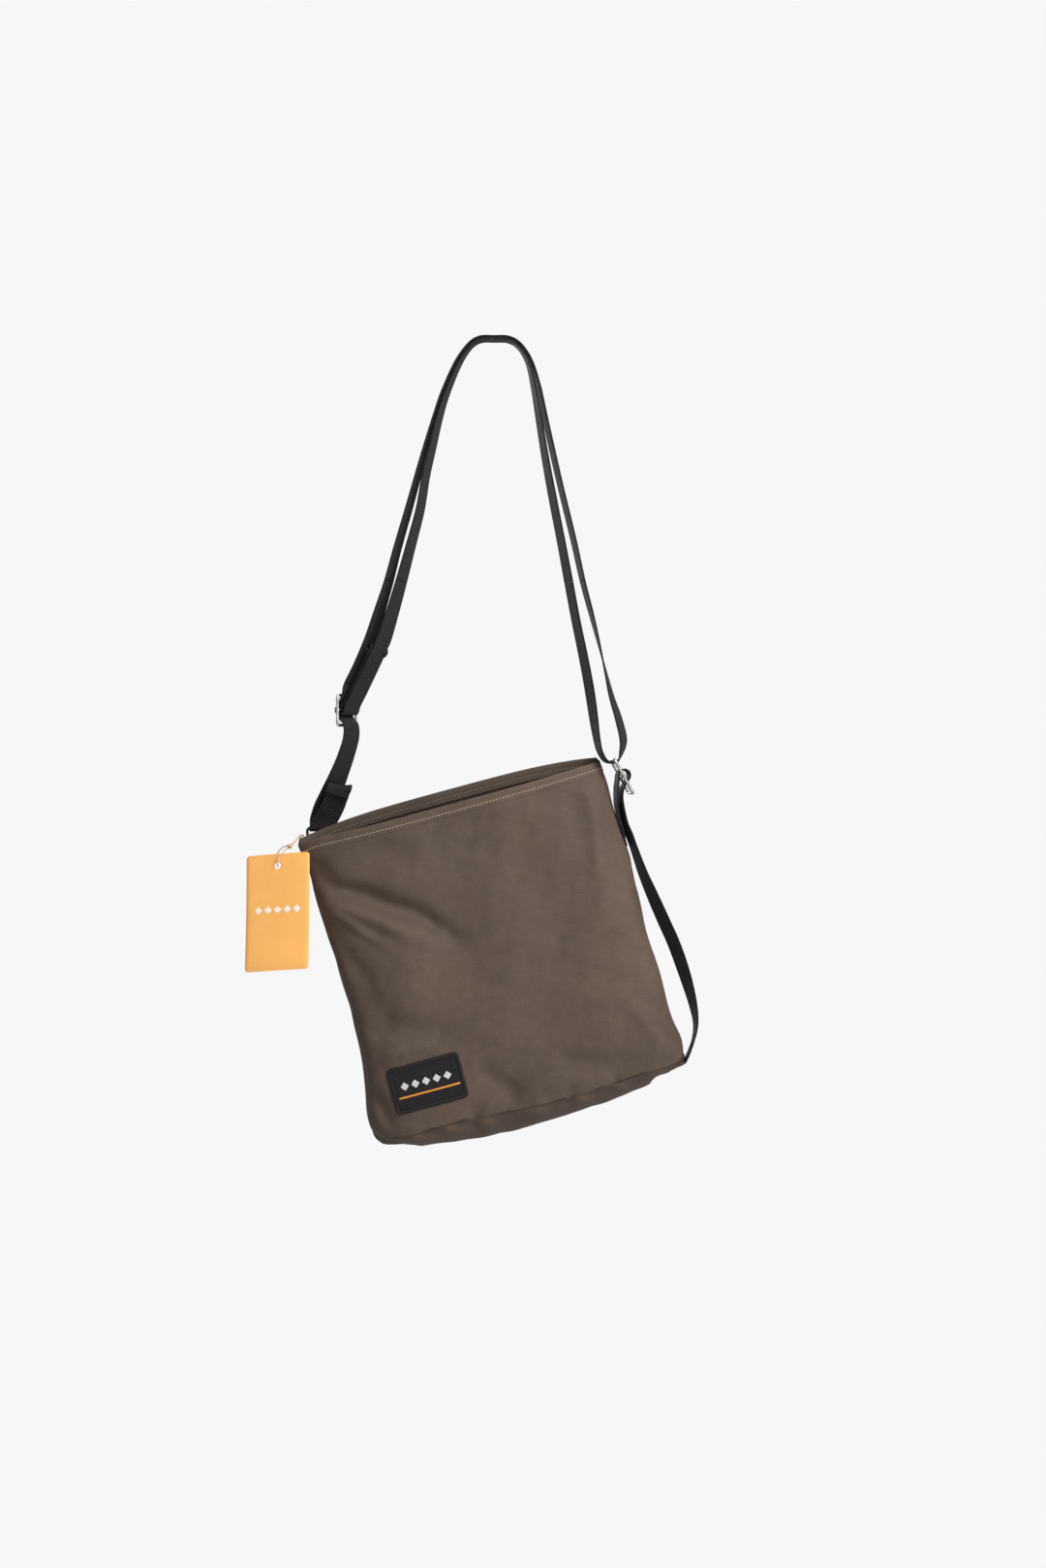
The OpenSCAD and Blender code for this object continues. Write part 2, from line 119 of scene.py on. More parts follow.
class Shade:
    """A node material under construction; its tints are gains on one colour."""

    def __init__(self, name, colour, rough, metal=0.0, sheen=0.0, specular=0.5):
        self.material = bpy.data.materials.new(name)
        self.material.use_nodes = True
        self.nodes = self.material.node_tree.nodes
        self.links = self.material.node_tree.links
        self.sockets = self.nodes["Principled BSDF"].inputs
        self.colour = colour
        self.normal = None
        for socket, value in (("Base Color", self.gain(1)), ("Roughness", rough), ("Metallic", metal),
                              ("Sheen Weight", sheen), ("Sheen Roughness", 0.5),
                              ("Specular IOR Level", specular)):
            self.sockets[socket].default_value = value

    def gain(self, factor):
        return (*(c * factor for c in self.colour), 1)

    def node(self, kind, **values):
        made = self.nodes.new(kind)
        for key, value in values.items():
            if key in made.inputs:
                made.inputs[key].default_value = value
            else:
                setattr(made, key, value)
        return made

    def coords(self, kind="Object", scale=(1, 1, 1), turn=(0, 0, 0)):
        mapping = self.node("ShaderNodeMapping", Scale=scale, Rotation=turn)
        self.links.new(self.node("ShaderNodeTexCoord").outputs[kind], mapping.inputs["Vector"])
        return mapping.outputs["Vector"]

    def noise(self, vector, scale, detail=3.0, rough=0.55):
        made = self.node("ShaderNodeTexNoise", Scale=scale, Detail=detail, Roughness=rough)
        self.links.new(vector, made.inputs["Vector"])
        return made.outputs["Fac"]

    def wave(self, vector, scale, axis, distortion):
        made = self.node("ShaderNodeTexWave", Scale=scale, Distortion=distortion, bands_direction=axis)
        self.links.new(vector, made.inputs["Vector"])
        return made.outputs["Fac"]

    def math(self, kind, a, b):
        made = self.node("ShaderNodeMath", operation=kind)
        for k, value in enumerate((a, b)):
            if isinstance(value, (int, float)):
                made.inputs[k].default_value = value
            else:
                self.links.new(value, made.inputs[k])
        return made.outputs[0]

    def add(self, a, b):
        return self.math("ADD", a, b)

    def times(self, a, b):
        return self.math("MULTIPLY", a, b)

    def ramp(self, value, low, high, out_low=0.0, out_high=1.0):
        made = self.node("ShaderNodeMapRange", **{"From Min": low, "From Max": high,
                                                  "To Min": out_low, "To Max": out_high})
        self.links.new(value, made.inputs["Value"])
        return made.outputs["Result"]

    def tint(self, high, factor, low=None):
        """Mixes the colour times high over the colour times low, or over what is there."""
        mix = self.node("ShaderNodeMix", data_type="RGBA")
        if low is None:
            self.links.new(self.sockets["Base Color"].links[0].from_socket, mix.inputs["A"])
        else:
            mix.inputs["A"].default_value = self.gain(low)
        mix.inputs["B"].default_value = self.gain(high)
        self.links.new(factor, mix.inputs["Factor"])
        self.links.new(mix.outputs["Result"], self.sockets["Base Color"])

    def bump(self, value, distance, strength):
        made = self.node("ShaderNodeBump", Strength=strength, Distance=distance)
        self.links.new(value, made.inputs["Height"])
        if self.normal is not None:
            self.links.new(self.normal, made.inputs["Normal"])
        self.normal = made.outputs["Normal"]
        self.links.new(self.normal, self.sockets["Normal"])

    def rough(self, value):
        self.links.new(value, self.sockets["Roughness"])


def canvas_material(name, colour):
    """Waxed cotton: plain weave, slubs both ways, cloudy wax, pale ridges that are rubbed wax and painted
    highlight, and painted shade inside.
    """
    m = Shade(name, colour, 0.74, sheen=0.05, specular=0.25)
    turn = (0, BAG_TILT, 0)
    turned = m.coords(turn=turn)
    cloud = m.noise(turned, 16, 4)
    patch = m.noise(turned, 95, 3)
    mottle = m.add(m.times(cloud, 0.65), m.times(patch, 0.35))
    m.tint(1.16, m.ramp(mottle, 0.36, 0.64), 0.86)
    weft = m.noise(m.coords(scale=(0.09, 0.09, 1), turn=turn), 1500, 2)
    warp = m.noise(m.coords(scale=(1, 1, 0.09), turn=turn), 1500, 2)
    thread = m.add(weft, warp)
    m.tint(1.5, m.ramp(thread, 1.06, 1.36, 0, 0.34))
    m.tint(0.6, m.ramp(thread, 0.92, 0.66, 0, 0.32))
    wear_and_painted_light = m.node("ShaderNodeAttribute", attribute_name="wear_and_painted_light").outputs["Fac"]
    # Lighter where the attribute is above zero: rubbed rim and seam edges, fold ridges that are part rubbed
    # wax and part painted highlight, and painted highlights on the base puckers.
    m.tint(1.55, m.ramp(m.times(wear_and_painted_light, m.add(patch, 0.4)), 0.1, 1, 0, 0.7))
    # Painted shade: the inner faces, where the attribute is -1, darkened to 0.46 of the colour.
    m.tint(0.46, m.ramp(wear_and_painted_light, 0, -1))
    m.rough(m.ramp(cloud, 0.35, 0.65, 0.62, 0.8))
    m.bump(m.noise(turned, 60, 4), 0.0007, 0.5)
    m.bump(thread, 0.00022, 0.75)
    return m.material


def webbing_material(name, colour, rib=1.0):
    """Woven tape: its UVs are millimetres across and along, so the ribs follow every bend."""
    m = Shade(name, colour, 0.6, sheen=0.04, specular=0.22)
    uv = m.coords("UV")
    rows = m.wave(uv, 0.42 / rib, "Y", 0.25)
    cords = m.wave(uv, 0.3 / rib, "X", 0.15)
    skew = m.wave(m.coords("UV", turn=(0, 0, math.radians(38))), 0.36 / rib, "X", 0.4)
    weave = m.add(m.times(rows, cords), m.times(skew, 0.6))
    m.tint(1.35, m.ramp(weave, 0.25, 1.25, 0.1, 0.9), 0.5)
    m.tint(2.2, m.ramp(m.noise(uv, 0.9, 3), 0.62, 0.8, 0, 0.35))
    m.bump(weave, 0.00032, 0.9)
    return m.material


def thread_material(name, colour):
    m = Shade(name, colour, 0.5, sheen=0.05)
    grain = m.noise(m.coords(), 2600, 2)
    m.tint(1.25, m.ramp(grain, 0.35, 0.65), 0.6)
    m.bump(grain, 0.0002, 0.8)
    return m.material


def metal_material(name, colour):
    m = Shade(name, colour, 0.24, metal=1.0)
    drawn = m.noise(m.coords(scale=(1, 0.05, 1)), 2200, 3)
    smear = m.noise(m.coords(), 190, 4)
    m.tint(1.12, m.ramp(smear, 0.35, 0.66), 0.72)
    m.rough(m.ramp(m.add(drawn, smear), 0.75, 1.25, 0.168, 0.408))
    m.bump(drawn, 0.00006, 0.6)
    return m.material


def coated_material(name, colour):
    m = Shade(name, colour, 0.3, specular=0.6)
    chips = m.noise(m.coords(), 420, 5, 0.7)
    m.tint(3.2, m.ramp(chips, 0.64, 0.72, 0, 0.7), 1)
    m.rough(m.ramp(chips, 0.3, 0.7, 0.22, 0.46))
    m.bump(chips, 0.00008, 0.5)
    return m.material


def woven_material(name, colour, pitch=1.0, gloss=0.45, lift=1.5):
    """Tight label weave: fine rows along the label and crossing yarns."""
    m = Shade(name, colour, gloss, sheen=0.04, specular=0.3)
    place = m.coords(turn=(0, BAG_TILT, 0))
    rows = m.wave(place, 480 / pitch, "Z", 0.3)
    yarns = m.wave(place, 340 / pitch, "X", 0.3)
    weave = m.times(m.add(rows, 0.35), m.add(yarns, 0.5))
    fuzz = m.noise(place, 900, 3)
    m.tint(lift, m.ramp(m.times(weave, fuzz), 0.1, 0.75), 0.68)
    m.bump(weave, 0.00025, 0.8)
    m.bump(fuzz, 0.00012, 0.5)
    return m.material


def card_material(name, colour):
    m = Shade(name, colour, 0.62, specular=0.35)
    fibre = m.noise(m.coords(scale=(1, 1, 0.35)), 1300, 4, 0.65)
    cloud = m.noise(m.coords(), 28, 3)
    m.tint(1.03, m.ramp(m.add(fibre, cloud), 0.8, 1.2), 0.95)
    m.bump(fibre, 0.00007, 0.55)
    return m.material


def twine_material(name, colour):
    m = Shade(name, colour, 0.8, sheen=0.3, specular=0.25)
    strands = m.noise(m.coords(scale=(1, 1, 0.4)), 3600, 3)
    m.tint(1.25, m.ramp(strands, 0.34, 0.66), 0.55)
    m.bump(strands, 0.0003, 0.9)
    return m.material


LOOKS = [
    (canvas_material, "canvas", (0.096, 0.0665, 0.0497)),
    # The hem canvas and the shaded thread are darker copies of the canvas and the sand thread, as painted
    # shade inside the mouth.
    (canvas_material, "hem", (0.08, 0.058, 0.044)),
    (webbing_material, "binding", (0.05, 0.042, 0.034), 0.6),
    (webbing_material, "webbing", (0.018, 0.0138, 0.0152)),
    (thread_material, "black_thread", (0.017, 0.014, 0.015)),
    (thread_material, "sand_thread", (0.56, 0.46, 0.33)),
    (thread_material, "shaded_thread", (0.3, 0.24, 0.16)),
    (metal_material, "slide_metal", (0.66, 0.64, 0.61)),
    (coated_material, "ring_black", (0.02, 0.022, 0.027)),
    (woven_material, "label_black", (0.0085, 0.0065, 0.0085)),
    (woven_material, "label_edge", (0.0075, 0.0068, 0.0075), 1.6, 0.45, 1.8),
    (woven_material, "label_orange", (0.97, 0.38, 0.04), 1.3, 0.5, 1.05),
    (woven_material, "label_white", (0.78, 0.77, 0.74), 1.3, 0.5, 1.1),
    (card_material, "card", (1.0, 0.495, 0.135)),
    (card_material, "card_print", (0.95, 0.9, 0.83)),
    (twine_material, "twine", (0.82, 0.6, 0.4)),
]
MATERIALS = {name: make(name, *values) for make, name, *values in LOOKS}

# ----- mesh helpers; all shapes are drawn in millimetres -----


def mesh_piece(name, points, faces, slot, body=None, nodes=(), uvs=None, wear_and_painted_light=None, look=None):
    """A piece from points in millimetres that rides on body and replaces nodes."""
    mesh = bpy.data.meshes.new(name)
    mesh.from_pydata((np.asarray(points) * MM).tolist(), [], faces)
    mesh.polygons.foreach_set("use_smooth", [True] * len(mesh.polygons))
    if uvs is not None:
        layer = mesh.uv_layers.new(name="UVMap")
        corners = np.zeros(len(mesh.loops), int)
        mesh.loops.foreach_get("vertex_index", corners)
        layer.data.foreach_set("uv", np.asarray(uvs, float)[corners].astype(np.float32).ravel())
    if wear_and_painted_light is not None:
        mesh.attributes.new("wear_and_painted_light", "FLOAT", "POINT").data.foreach_set("value", np.asarray(wear_and_painted_light, np.float32))
    mesh.materials.append(MATERIALS[look or slot])
    piece = bpy.data.objects.new(name, mesh)
    bpy.context.scene.collection.objects.link(piece)
    if body:
        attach(piece, body)
    if nodes:
        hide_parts(*nodes)
    return piece


def sweep_faces(rings, sides, closed=False, caps=True):
    """Quads of a tube with rings of points, closed into a loop or capped at both ends."""
    faces = []
    for r in range(rings if closed else rings - 1):
        a, b = r * sides, (r + 1) % rings * sides
        for k in range(sides):
            n = (k + 1) % sides
            faces.append((a + k, b + k, b + n, a + n))
    if caps and not closed:
        faces.append(tuple(range(sides)))
        last = (rings - 1) * sides
        faces.append(tuple(last + k for k in reversed(range(sides))))
    return faces


def unit(v):
    v = np.asarray(v, float)
    return v / np.maximum(np.linalg.norm(v, axis=-1, keepdims=True), 1e-9)


def smooth(rows, steps):
    """Catmull-Rom curve through rows."""
    p = np.asarray(rows, float)
    n = len(p) - 1
    out = []
    for i in range(n):
        a, b, c, d = p[max(i - 1, 0)], p[i], p[i + 1], p[min(i + 2, n)]
        for k in range(steps):
            t = k / steps
            out.append(0.5 * (2 * b + (c - a) * t + (2 * a - 5 * b + 4 * c - d) * t * t
                              + (3 * b - a - 3 * c + d) * t ** 3))
    return np.array(out + [p[n]])


def tangents(points, closed=False):
    if closed:
        return unit(np.roll(points, -1, 0) - np.roll(points, 1, 0))
    return unit(np.vstack([points[1:2] - points[:1], points[2:] - points[:-2], points[-1:] - points[-2:-1]]))


def lengths(points):
    return np.concatenate([[0], np.cumsum(np.linalg.norm(np.diff(points, axis=0), axis=1))])


def turned_along(t, u):
    """Pairs of directions across a line, from its tangents, turned as little as possible."""
    pairs = []
    for along in t:
        u = unit(u - np.dot(u, along) * along)
        pairs.append((u, np.cross(along, u)))
    return pairs


def tube(path, radius, closed=False, sides=14):
    """A round wire along a path."""
    path = np.asarray(path, float)
    t = tangents(path, closed)
    first = np.cross(t[0], (0, 0, 1) if abs(t[0][2]) < 0.9 else (1, 0, 0))
    angle = np.linspace(0, 2 * np.pi, sides, endpoint=False)
    points = [p + radius * (np.outer(np.cos(angle), u) + np.outer(np.sin(angle), v))
              for p, (u, v) in zip(path, turned_along(t, first))]
    return np.vstack(points), sweep_faces(len(path), sides, closed)


def at_length(s, along, values):
    """Values at lengths s of a line, from its points' lengths and values."""
    return np.stack([np.interp(s, along, column) for column in np.transpose(values)], -1)


def joined(*parts):
    points, faces, start = [], [], 0
    for part_points, part_faces in parts:
        points.append(part_points)
        faces += [tuple(k + start for k in face) for face in part_faces]
        start += len(part_points)
    return np.vstack(points), faces


# ----- webbing -----

WEB_W, WEB_T = 20.0, 1.5
# Half of the tape's section, as shares of its half sizes: a flat face and a fuller selvedge.
SELVEDGE = [(-1, 0), (-0.985, 0.62), (-0.94, 1.0), (-0.87, 1.02), (-0.79, 0.9), (-0.4, 0.9)]
HALF_SECTION = SELVEDGE + [(0, 0.93)] + [(-u, n) for u, n in reversed(SELVEDGE)]
SECTION = np.array(HALF_SECTION + [(u, -n) for u, n in reversed(HALF_SECTION[1:-1])]) * (WEB_W / 2, WEB_T / 2)


def ribbon(rows, first=0, last=None):
    """Tape along rows of x, y, z and its width's angle in plan, from Y towards X."""
    rows = np.asarray(rows, float)
    centre, angle = rows[:, :3], np.radians(rows[:, 3])
    t = tangents(centre)
    level = np.column_stack([np.sin(angle), np.cos(angle), np.zeros(len(rows))])
    u = unit(level - (level * t).sum(1)[:, None] * t)
    n = np.cross(t, u)
    v = lengths(centre)
    around = lengths(SECTION)
    kept = range(first, len(rows) if last is None else last + 1)
    points = [centre[i] + np.outer(SECTION[:, 0], u[i]) + np.outer(SECTION[:, 1], n[i]) for i in kept]
    uvs = [np.column_stack([around, np.full(len(SECTION), v[i])]) for i in kept]
    return np.vstack(points), sweep_faces(len(kept), len(SECTION)), np.vstack(uvs)


def web_piece(name, made, node, body=None):
    return mesh_piece(name, made[0], made[1], "webbing", body, [node], made[2])


STITCH_RISE, BOX_PITCH, BOX_THREAD = 0.28, 2.4, 0.5
STITCH_ARCH = (-0.25, 0.6, 1.0, 0.6, -0.25)


def stitch(a, b, out, thick):
    """A short thread from a to b that dives into the cloth at both ends."""
    path = [a + (b - a) * k / 4 + unit(out) * STITCH_RISE * h for k, h in enumerate(STITCH_ARCH)]
    return tube(path, thick / 2, sides=6)


def stitch_line(points, normals, pitch, gap, thick):
    """Stitches along a line that lies on a surface."""
    along = lengths(points)
    count = max(int(along[-1] / pitch), 1)
    step = along[-1] / count
    made = []
    for start in np.arange(count) * step:
        a, b = (at_length(s, along, points) for s in (start + gap / 2, start + step - gap / 2))
        made.append(stitch(a, b, at_length(start + step / 2, along, normals), thick))
    return made


def box_stitches(centre, u, v, out, width, height):
    """A box of stitches with a cross in it, in the plane of u and v."""
    centre, u, v = np.asarray(centre, float), unit(u) * width / 2, unit(v) * height / 2
    corners = np.array([centre - u - v, centre + u - v, centre + u + v, centre - u + v])
    made = []
    for ends in ([0, 1], [1, 2], [2, 3], [3, 0], [0, 2], [1, 3]):
        made += stitch_line(corners[ends], np.tile(out, (2, 1)), BOX_PITCH, BOX_THREAD, BOX_THREAD)
    return made


# ----- bag shell -----

RIM_MIDDLE = np.array([-35.5, 0, -384.1])
BAG_H = 258.0
ACROSS = np.array([math.cos(BAG_TILT), 0, math.sin(BAG_TILT)])
UP = np.array([-math.sin(BAG_TILT), 0, math.cos(BAG_TILT)])
COLUMNS = 96
HEM = 9.2
LABEL_X, LABEL_Z = -77.2, -214.6


def to_part(p):
    """From the bag's own frame, x along the rim and z up, to the shared frame."""
    p = np.asarray(p, float)
    return RIM_MIDDLE + p[..., :1] * ACROSS + p[..., 1:2] * (0, 1, 0) + p[..., 2:3] * UP


def keyed(s, keys):
    """Smooth value at s through (s, value) keys."""
    x, y = np.array(keys, float).T
    slope = np.gradient(y, x)
    i = np.clip(np.searchsorted(x, s) - 1, 0, len(x) - 2)
    h = x[i + 1] - x[i]
    t = np.clip((s - x[i]) / h, 0, 1)
    return ((1 + 2 * t) * (1 - t) ** 2 * y[i] + t * (1 - t) ** 2 * h * slope[i]
            + t * t * (3 - 2 * t) * y[i + 1] + t * t * (t - 1) * h * slope[i + 1])


# Each profile runs from the rim, 0, to the base seam, 1.
LEFT = [
    (0, 132.5), (0.05, 131), (0.1, 129.6), (0.17, 129.2), (0.24, 128.8), (0.31, 127.4), (0.385, 125.4),
    (0.44, 126.4), (0.49, 126.5), (0.55, 124.6), (0.62, 124.6), (0.73, 127), (0.84, 130.6), (0.9, 133.6),
    (0.94, 134.2), (0.975, 132.6), (1, 127.5)]
RIGHT = [
    (0, 128), (0.08, 129.6), (0.25, 130), (0.33, 132), (0.42, 129.6), (0.53, 128.4), (0.7, 129.4),
    (0.87, 130.2), (0.94, 132.4), (1, 130.6)]
FRONT = [(0, -13), (0.1, -15.6), (0.25, -22.5), (0.5, -36), (0.7, -44), (0.85, -47), (0.94, -47), (1, -45.4)]
BACK = [(0, 18), (0.5, 18), (1, 17)]
EDGE = [(0, 10), (0.12, 7), (0.3, 2), (0.55, -5), (0.8, -11), (1, -14)]
BOXINESS = [(0, 3), (0.12, 5), (0.3, 7), (0.6, 9), (1, 9)]
ROUNDNESS = [(0, 1.3), (0.12, 2.1), (0.3, 2.5), (1, 2.5)]
BACK_BOXINESS = 10


def smoothstep(x, a, b):
    t = np.clip((x - a) / (b - a), 0, 1)
    return t * t * (3 - 2 * t)


def rim_height(x, back):
    """Height of the rim at x along it: the front sags a little and the back bows up."""
    front = -0.6 + 2.4 * (np.abs(x) / 128) ** 3 - 2.5 * smoothstep(-x, 114, 132)
    rear = 12 - 7 * np.clip(np.abs(x) / 128, 0, 1) ** 3.5
    return np.where(back, rear, front)


SEAM = [(-132, 4.3), (-111, 4.3), (-54, 5.2), (-2, 1.8), (40, 1), (86, 3.4), (132, 4.3)]


def seam_rise(x, back):
    """How far the base seam rises above its full depth, most at the rounded left corner."""
    left = 5 * np.clip((-x - 102) / 26, 0, 1) ** 2
    right = 3 * np.clip((x - 118) / 12, 0, 1) ** 2
    return left + right + np.where(back, -4.0, keyed(x, SEAM))


def half_loop(s, front):
    """Points of one half of the bag's section at level s, from the left edge to the right."""
    left, right = keyed(s, LEFT), keyed(s, RIGHT)
    centre, half = (right - left) / 2, (right + left) / 2
    edge = keyed(s, EDGE)
    depth = (keyed(s, FRONT) if front else keyed(s, BACK)) - edge
    p = keyed(s, BOXINESS) if front else BACK_BOXINESS
    q = keyed(s, ROUNDNESS)
    turn = np.linspace(-np.pi / 2, np.pi / 2, 721)
    x = np.sin(turn)
    y = edge + depth * np.maximum(1 - np.abs(x) ** p, 0) ** (1 / q)
    line = np.column_stack([centre + half * x, y])
    along = lengths(line)
    return at_length(np.linspace(0, along[-1], COLUMNS + 1), along, line)


def loop(s):
    """The whole section: the front from left to right, then the back from right to left."""
    front, back = half_loop(s, True), half_loop(s, False)
    return np.vstack([front, back[-2:0:-1]])


def crease(x, z, path, depth, width, ends=(0.25, 0.35)):
    """A valley along a path, in millimetres of push inwards; a negative depth is a ridge."""
    path = np.asarray(path, float)
    total = lengths(path)
    best = np.full(x.shape, 1e9)
    where = np.zeros(x.shape)
    for a, b, start, end in zip(path, path[1:], total, total[1:]):
        d = b - a
        t = np.clip(((x - a[0]) * d[0] + (z - a[1]) * d[1]) / (d @ d), 0, 1)
        gap = np.hypot(x - a[0] - t * d[0], z - a[1] - t * d[1])
        near = gap < best
        best = np.where(near, gap, best)
        where = np.where(near, (start + t * (end - start)) / total[-1], where)
    fade = smoothstep(where, 0, ends[0]) * (1 - smoothstep(where, 1 - ends[1], 1))
    return depth * np.exp(-(best / width) ** 2) * fade


# Folds: a path of x, z from the middle of the rim, depth, width and the shares over which its ends fade.
FRONT_FOLDS = [
    ([(-125, -10), (-121, -28), (-111, -43), (-91, -53), (-71, -67), (-50, -81), (-35, -96), (-23, -110),
      (-14, -130)], 4.4, 8, (0.06, 0.34)),
    ([(-126, -48), (-104, -61), (-80, -79), (-54, -99), (-34, -118)], -3.2, 7.5, (0.04, 0.5)),
    ([(-130, -52), (-112, -67), (-93, -88), (-60, -116)], -2.2, 3.4, (0.01, 0.7)),
    ([(-131, -60), (-122, -80), (-112, -108), (-98, -138)], 2.8, 7.5, (0.04, 0.5)),
    ([(-118, -122), (-101, -146), (-84, -174)], 2.0, 13, (0.3, 0.4)),
    ([(-88, -12), (-62, -20), (-36, -34)], 1.5, 10, (0.4, 0.5)),
    ([(111, -8), (113, -34), (111, -56), (104, -80), (95, -104)], -1.9, 7, (0.1, 0.5)),
    ([(101, -12), (100, -50), (91, -84), (74, -112), (58, -134)], 0.7, 12, (0.2, 0.5)),
    ([(124, -30), (124, -60), (118, -96), (106, -130)], 1.6, 6, (0.2, 0.5)),
    ([(60, -30), (44, -60), (20, -84)], 0.9, 14, (0.3, 0.5)),
    ([(-124, -170), (-98, -164), (-64, -176), (-36, -190)], 2.6, 11, (0.2, 0.5)),
    ([(-112, -188), (-80, -182), (-46, -190)], -1.4, 8, (0.3, 0.5)),
    ([(-126, -206), (-118, -224), (-112, -244)], 2.4, 6, (0.3, 0.3)),
    ([(88, -176), (106, -206), (122, -236), (132, -256)], -1.8, 8, (0.5, 0.05)),
    ([(104, -186), (120, -212), (133, -234)], 1.6, 7, (0.4, 0.1)),
    ([(20, -216), (46, -232), (80, -240), (112, -238)], 1.9, 9, (0.3, 0.4)),
    ([(-40, -206), (-20, -230), (-6, -250)], 1.6, 8, (0.4, 0.2)),
    ([(-50, -262), (-47, -248), (-38, -232)], 1.5, 5, (0.02, 0.7)),
    ([(30, -264), (34, -250), (44, -236)], 1.6, 5, (0.02, 0.7)),
    ([(66, -262), (72, -248), (84, -236)], 1.4, 4.5, (0.02, 0.7)),
    ([(4, -262), (6, -250), (12, -240)], -1.2, 6, (0.02, 0.7)),
]
BACK_FOLDS = [
    ([(-114, 4), (-84, -40), (-50, -84), (-16, -120)], 3.4, 12, (0.2, 0.5)),
    ([(112, 4), (92, -44), (60, -92)], 2.6, 11, (0.2, 0.5)),
    ([(-110, -150), (-60, -172), (-10, -168)], 1.8, 10, (0.3, 0.4)),
    ([(20, -190), (70, -214), (112, -228)], 1.8, 9, (0.3, 0.3)),
]


def soft_noise(x, z, seed, size):
    """Smooth noise from a fixed sum of waves, roughly from -1 to 1."""
    draw = np.random.default_rng(seed)
    total = np.zeros(x.shape)
    for _ in range(9):
        turn, phase, stretch = draw.uniform(0, 2 * np.pi), draw.uniform(0, 2 * np.pi), draw.uniform(0.7, 1.5)
        total += np.sin((x * math.cos(turn) + z * math.sin(turn)) * 2 * np.pi * stretch / size + phase)
    return total / 4


HEM_ROWS = [0, 0.7, 2.2, 4.2, 6.2, 8.2, 9.0, 9.5, 10.6, 12.4]
SEAM_ROWS = [251.5, 253.6, 255.4, 256.7, 257.5, 258]
WALL_ROWS = np.array(HEM_ROWS + list(np.linspace(15, 249, 76)) + SEAM_ROWS) / BAG_H


FOLD_GAIN = 1.85


def wall_points():
    """Rows of the bag's walls in its own frame, from the rim to the base seam."""
    back = np.arange(2 * COLUMNS) > COLUMNS
    rows = []
    for s in WALL_ROWS:
        section = loop(s)
        x = section[:, 0]
        z = -s * BAG_H + rim_height(x, back) * (1 - s) ** 2 + seam_rise(x, back) * s ** 6
        rows.append(np.column_stack([x, section[:, 1], z]))
    p = np.array(rows)
    x, z = p[..., 0], p[..., 2]
    side = np.sin(np.linspace(0, 2 * np.pi, 2 * COLUMNS, endpoint=False))
    front = np.clip(side * 2.2, 0, 1)
    rear = np.clip(-side * 2.2, 0, 1)
    calm = smoothstep(-z, 4, 22)
    dent = sum(crease(x, z, *fold) for fold in FRONT_FOLDS) + 0.8 * soft_noise(x, z, 3, 95)
    dent = dent + 0.28 * soft_noise(x, z, 5, 31) + 0.1 * soft_noise(x, z, 8, 13)
    behind = sum(crease(x, z, *fold) for fold in BACK_FOLDS) + 0.7 * soft_noise(x, z, 13, 80)
    off_label = np.maximum(smoothstep(np.abs(x - LABEL_X), 27, 44), smoothstep(np.abs(z - LABEL_Z), 17, 32))
    dent = dent * np.maximum(off_label, 1 - front)
    p[..., 1] += FOLD_GAIN * (dent * front - behind * rear) * (0.25 + 0.75 * calm)
    p[..., 0] += 0.9 * soft_noise(p[..., 1] * 3 + x, z, 21, 70) * calm * (1 - front) * (1 - rear)
    return p, dent * front


BASE_RINGS = [0.008, 0.03, 0.07, 0.13, 0.2, 0.29, 0.39, 0.5, 0.61, 0.72, 0.83, 0.93]
BELLY = [
    (-132, 2), (-122, 5), (-110, 6.4), (-89, 8.4), (-55, 13), (-13, 15), (28, 13.5), (60, 12), (84, 9.6),
    (108, 5.4), (131, 1)]
# Puckers along the base seam: place, width and depth.
BASE_PUCKERS = [
    (-96, 5, -2.0), (-84, 5, 2.4), (-70, 5, -2.2), (-56, 4.5, 3.4), (-42, 6, -2.4), (-20, 7, 1.6),
    (2, 8, -1.4), (24, 5, 3.0), (38, 5, -2.2), (58, 5, 2.6), (72, 5, -2.4), (90, 6, 1.8), (108, 6, -1.6)]
PUCKER_LEAN = 26
SPINE_Y, SPINE_HALF = -14.0, 98
CLOTH = 1.4


def puckers(x, k):
    return sum(d * np.exp(-((x - c - PUCKER_LEAN * k) / w) ** 2) for c, w, d in BASE_PUCKERS)


def base_points(seam):
    """Rings of the sagging base, from just inside its seam to the middle line."""
    x, y = seam[:, 0], seam[:, 1]
    spine_x = np.clip(x, -SPINE_HALF, SPINE_HALF)
    belly = keyed(x, BELLY)
    rings = []
    for k in BASE_RINGS:
        px = x + (spine_x - x) * k
        py = y + (SPINE_Y - y) * k
        sag = belly * np.sin(np.pi / 2 * min(k * 1.15, 1)) ** 0.85
        tuck = 1.2 * math.exp(-((k - BASE_RINGS[0]) / 0.025) ** 2)
        fold = 1.25 * puckers(px, k) * math.exp(-k * 2.4) * min(k * 12, 1)
        pz = seam[:, 2] * (1 - k) + (-BAG_H - 1) * k - sag + tuck + fold
        rings.append(np.column_stack([px, py, pz]))
    return np.array(rings)


def bag_grid():
    walls, dent = wall_points()
    return np.vstack([walls, base_points(walls[-1])]), dent


def normals_of(grid):
    """Outward normals of a closed grid of rows and columns."""
    down = np.gradient(grid, axis=0)
    round_ = np.roll(grid, -1, 1) - np.roll(grid, 1, 1)
    return unit(np.cross(down, round_))


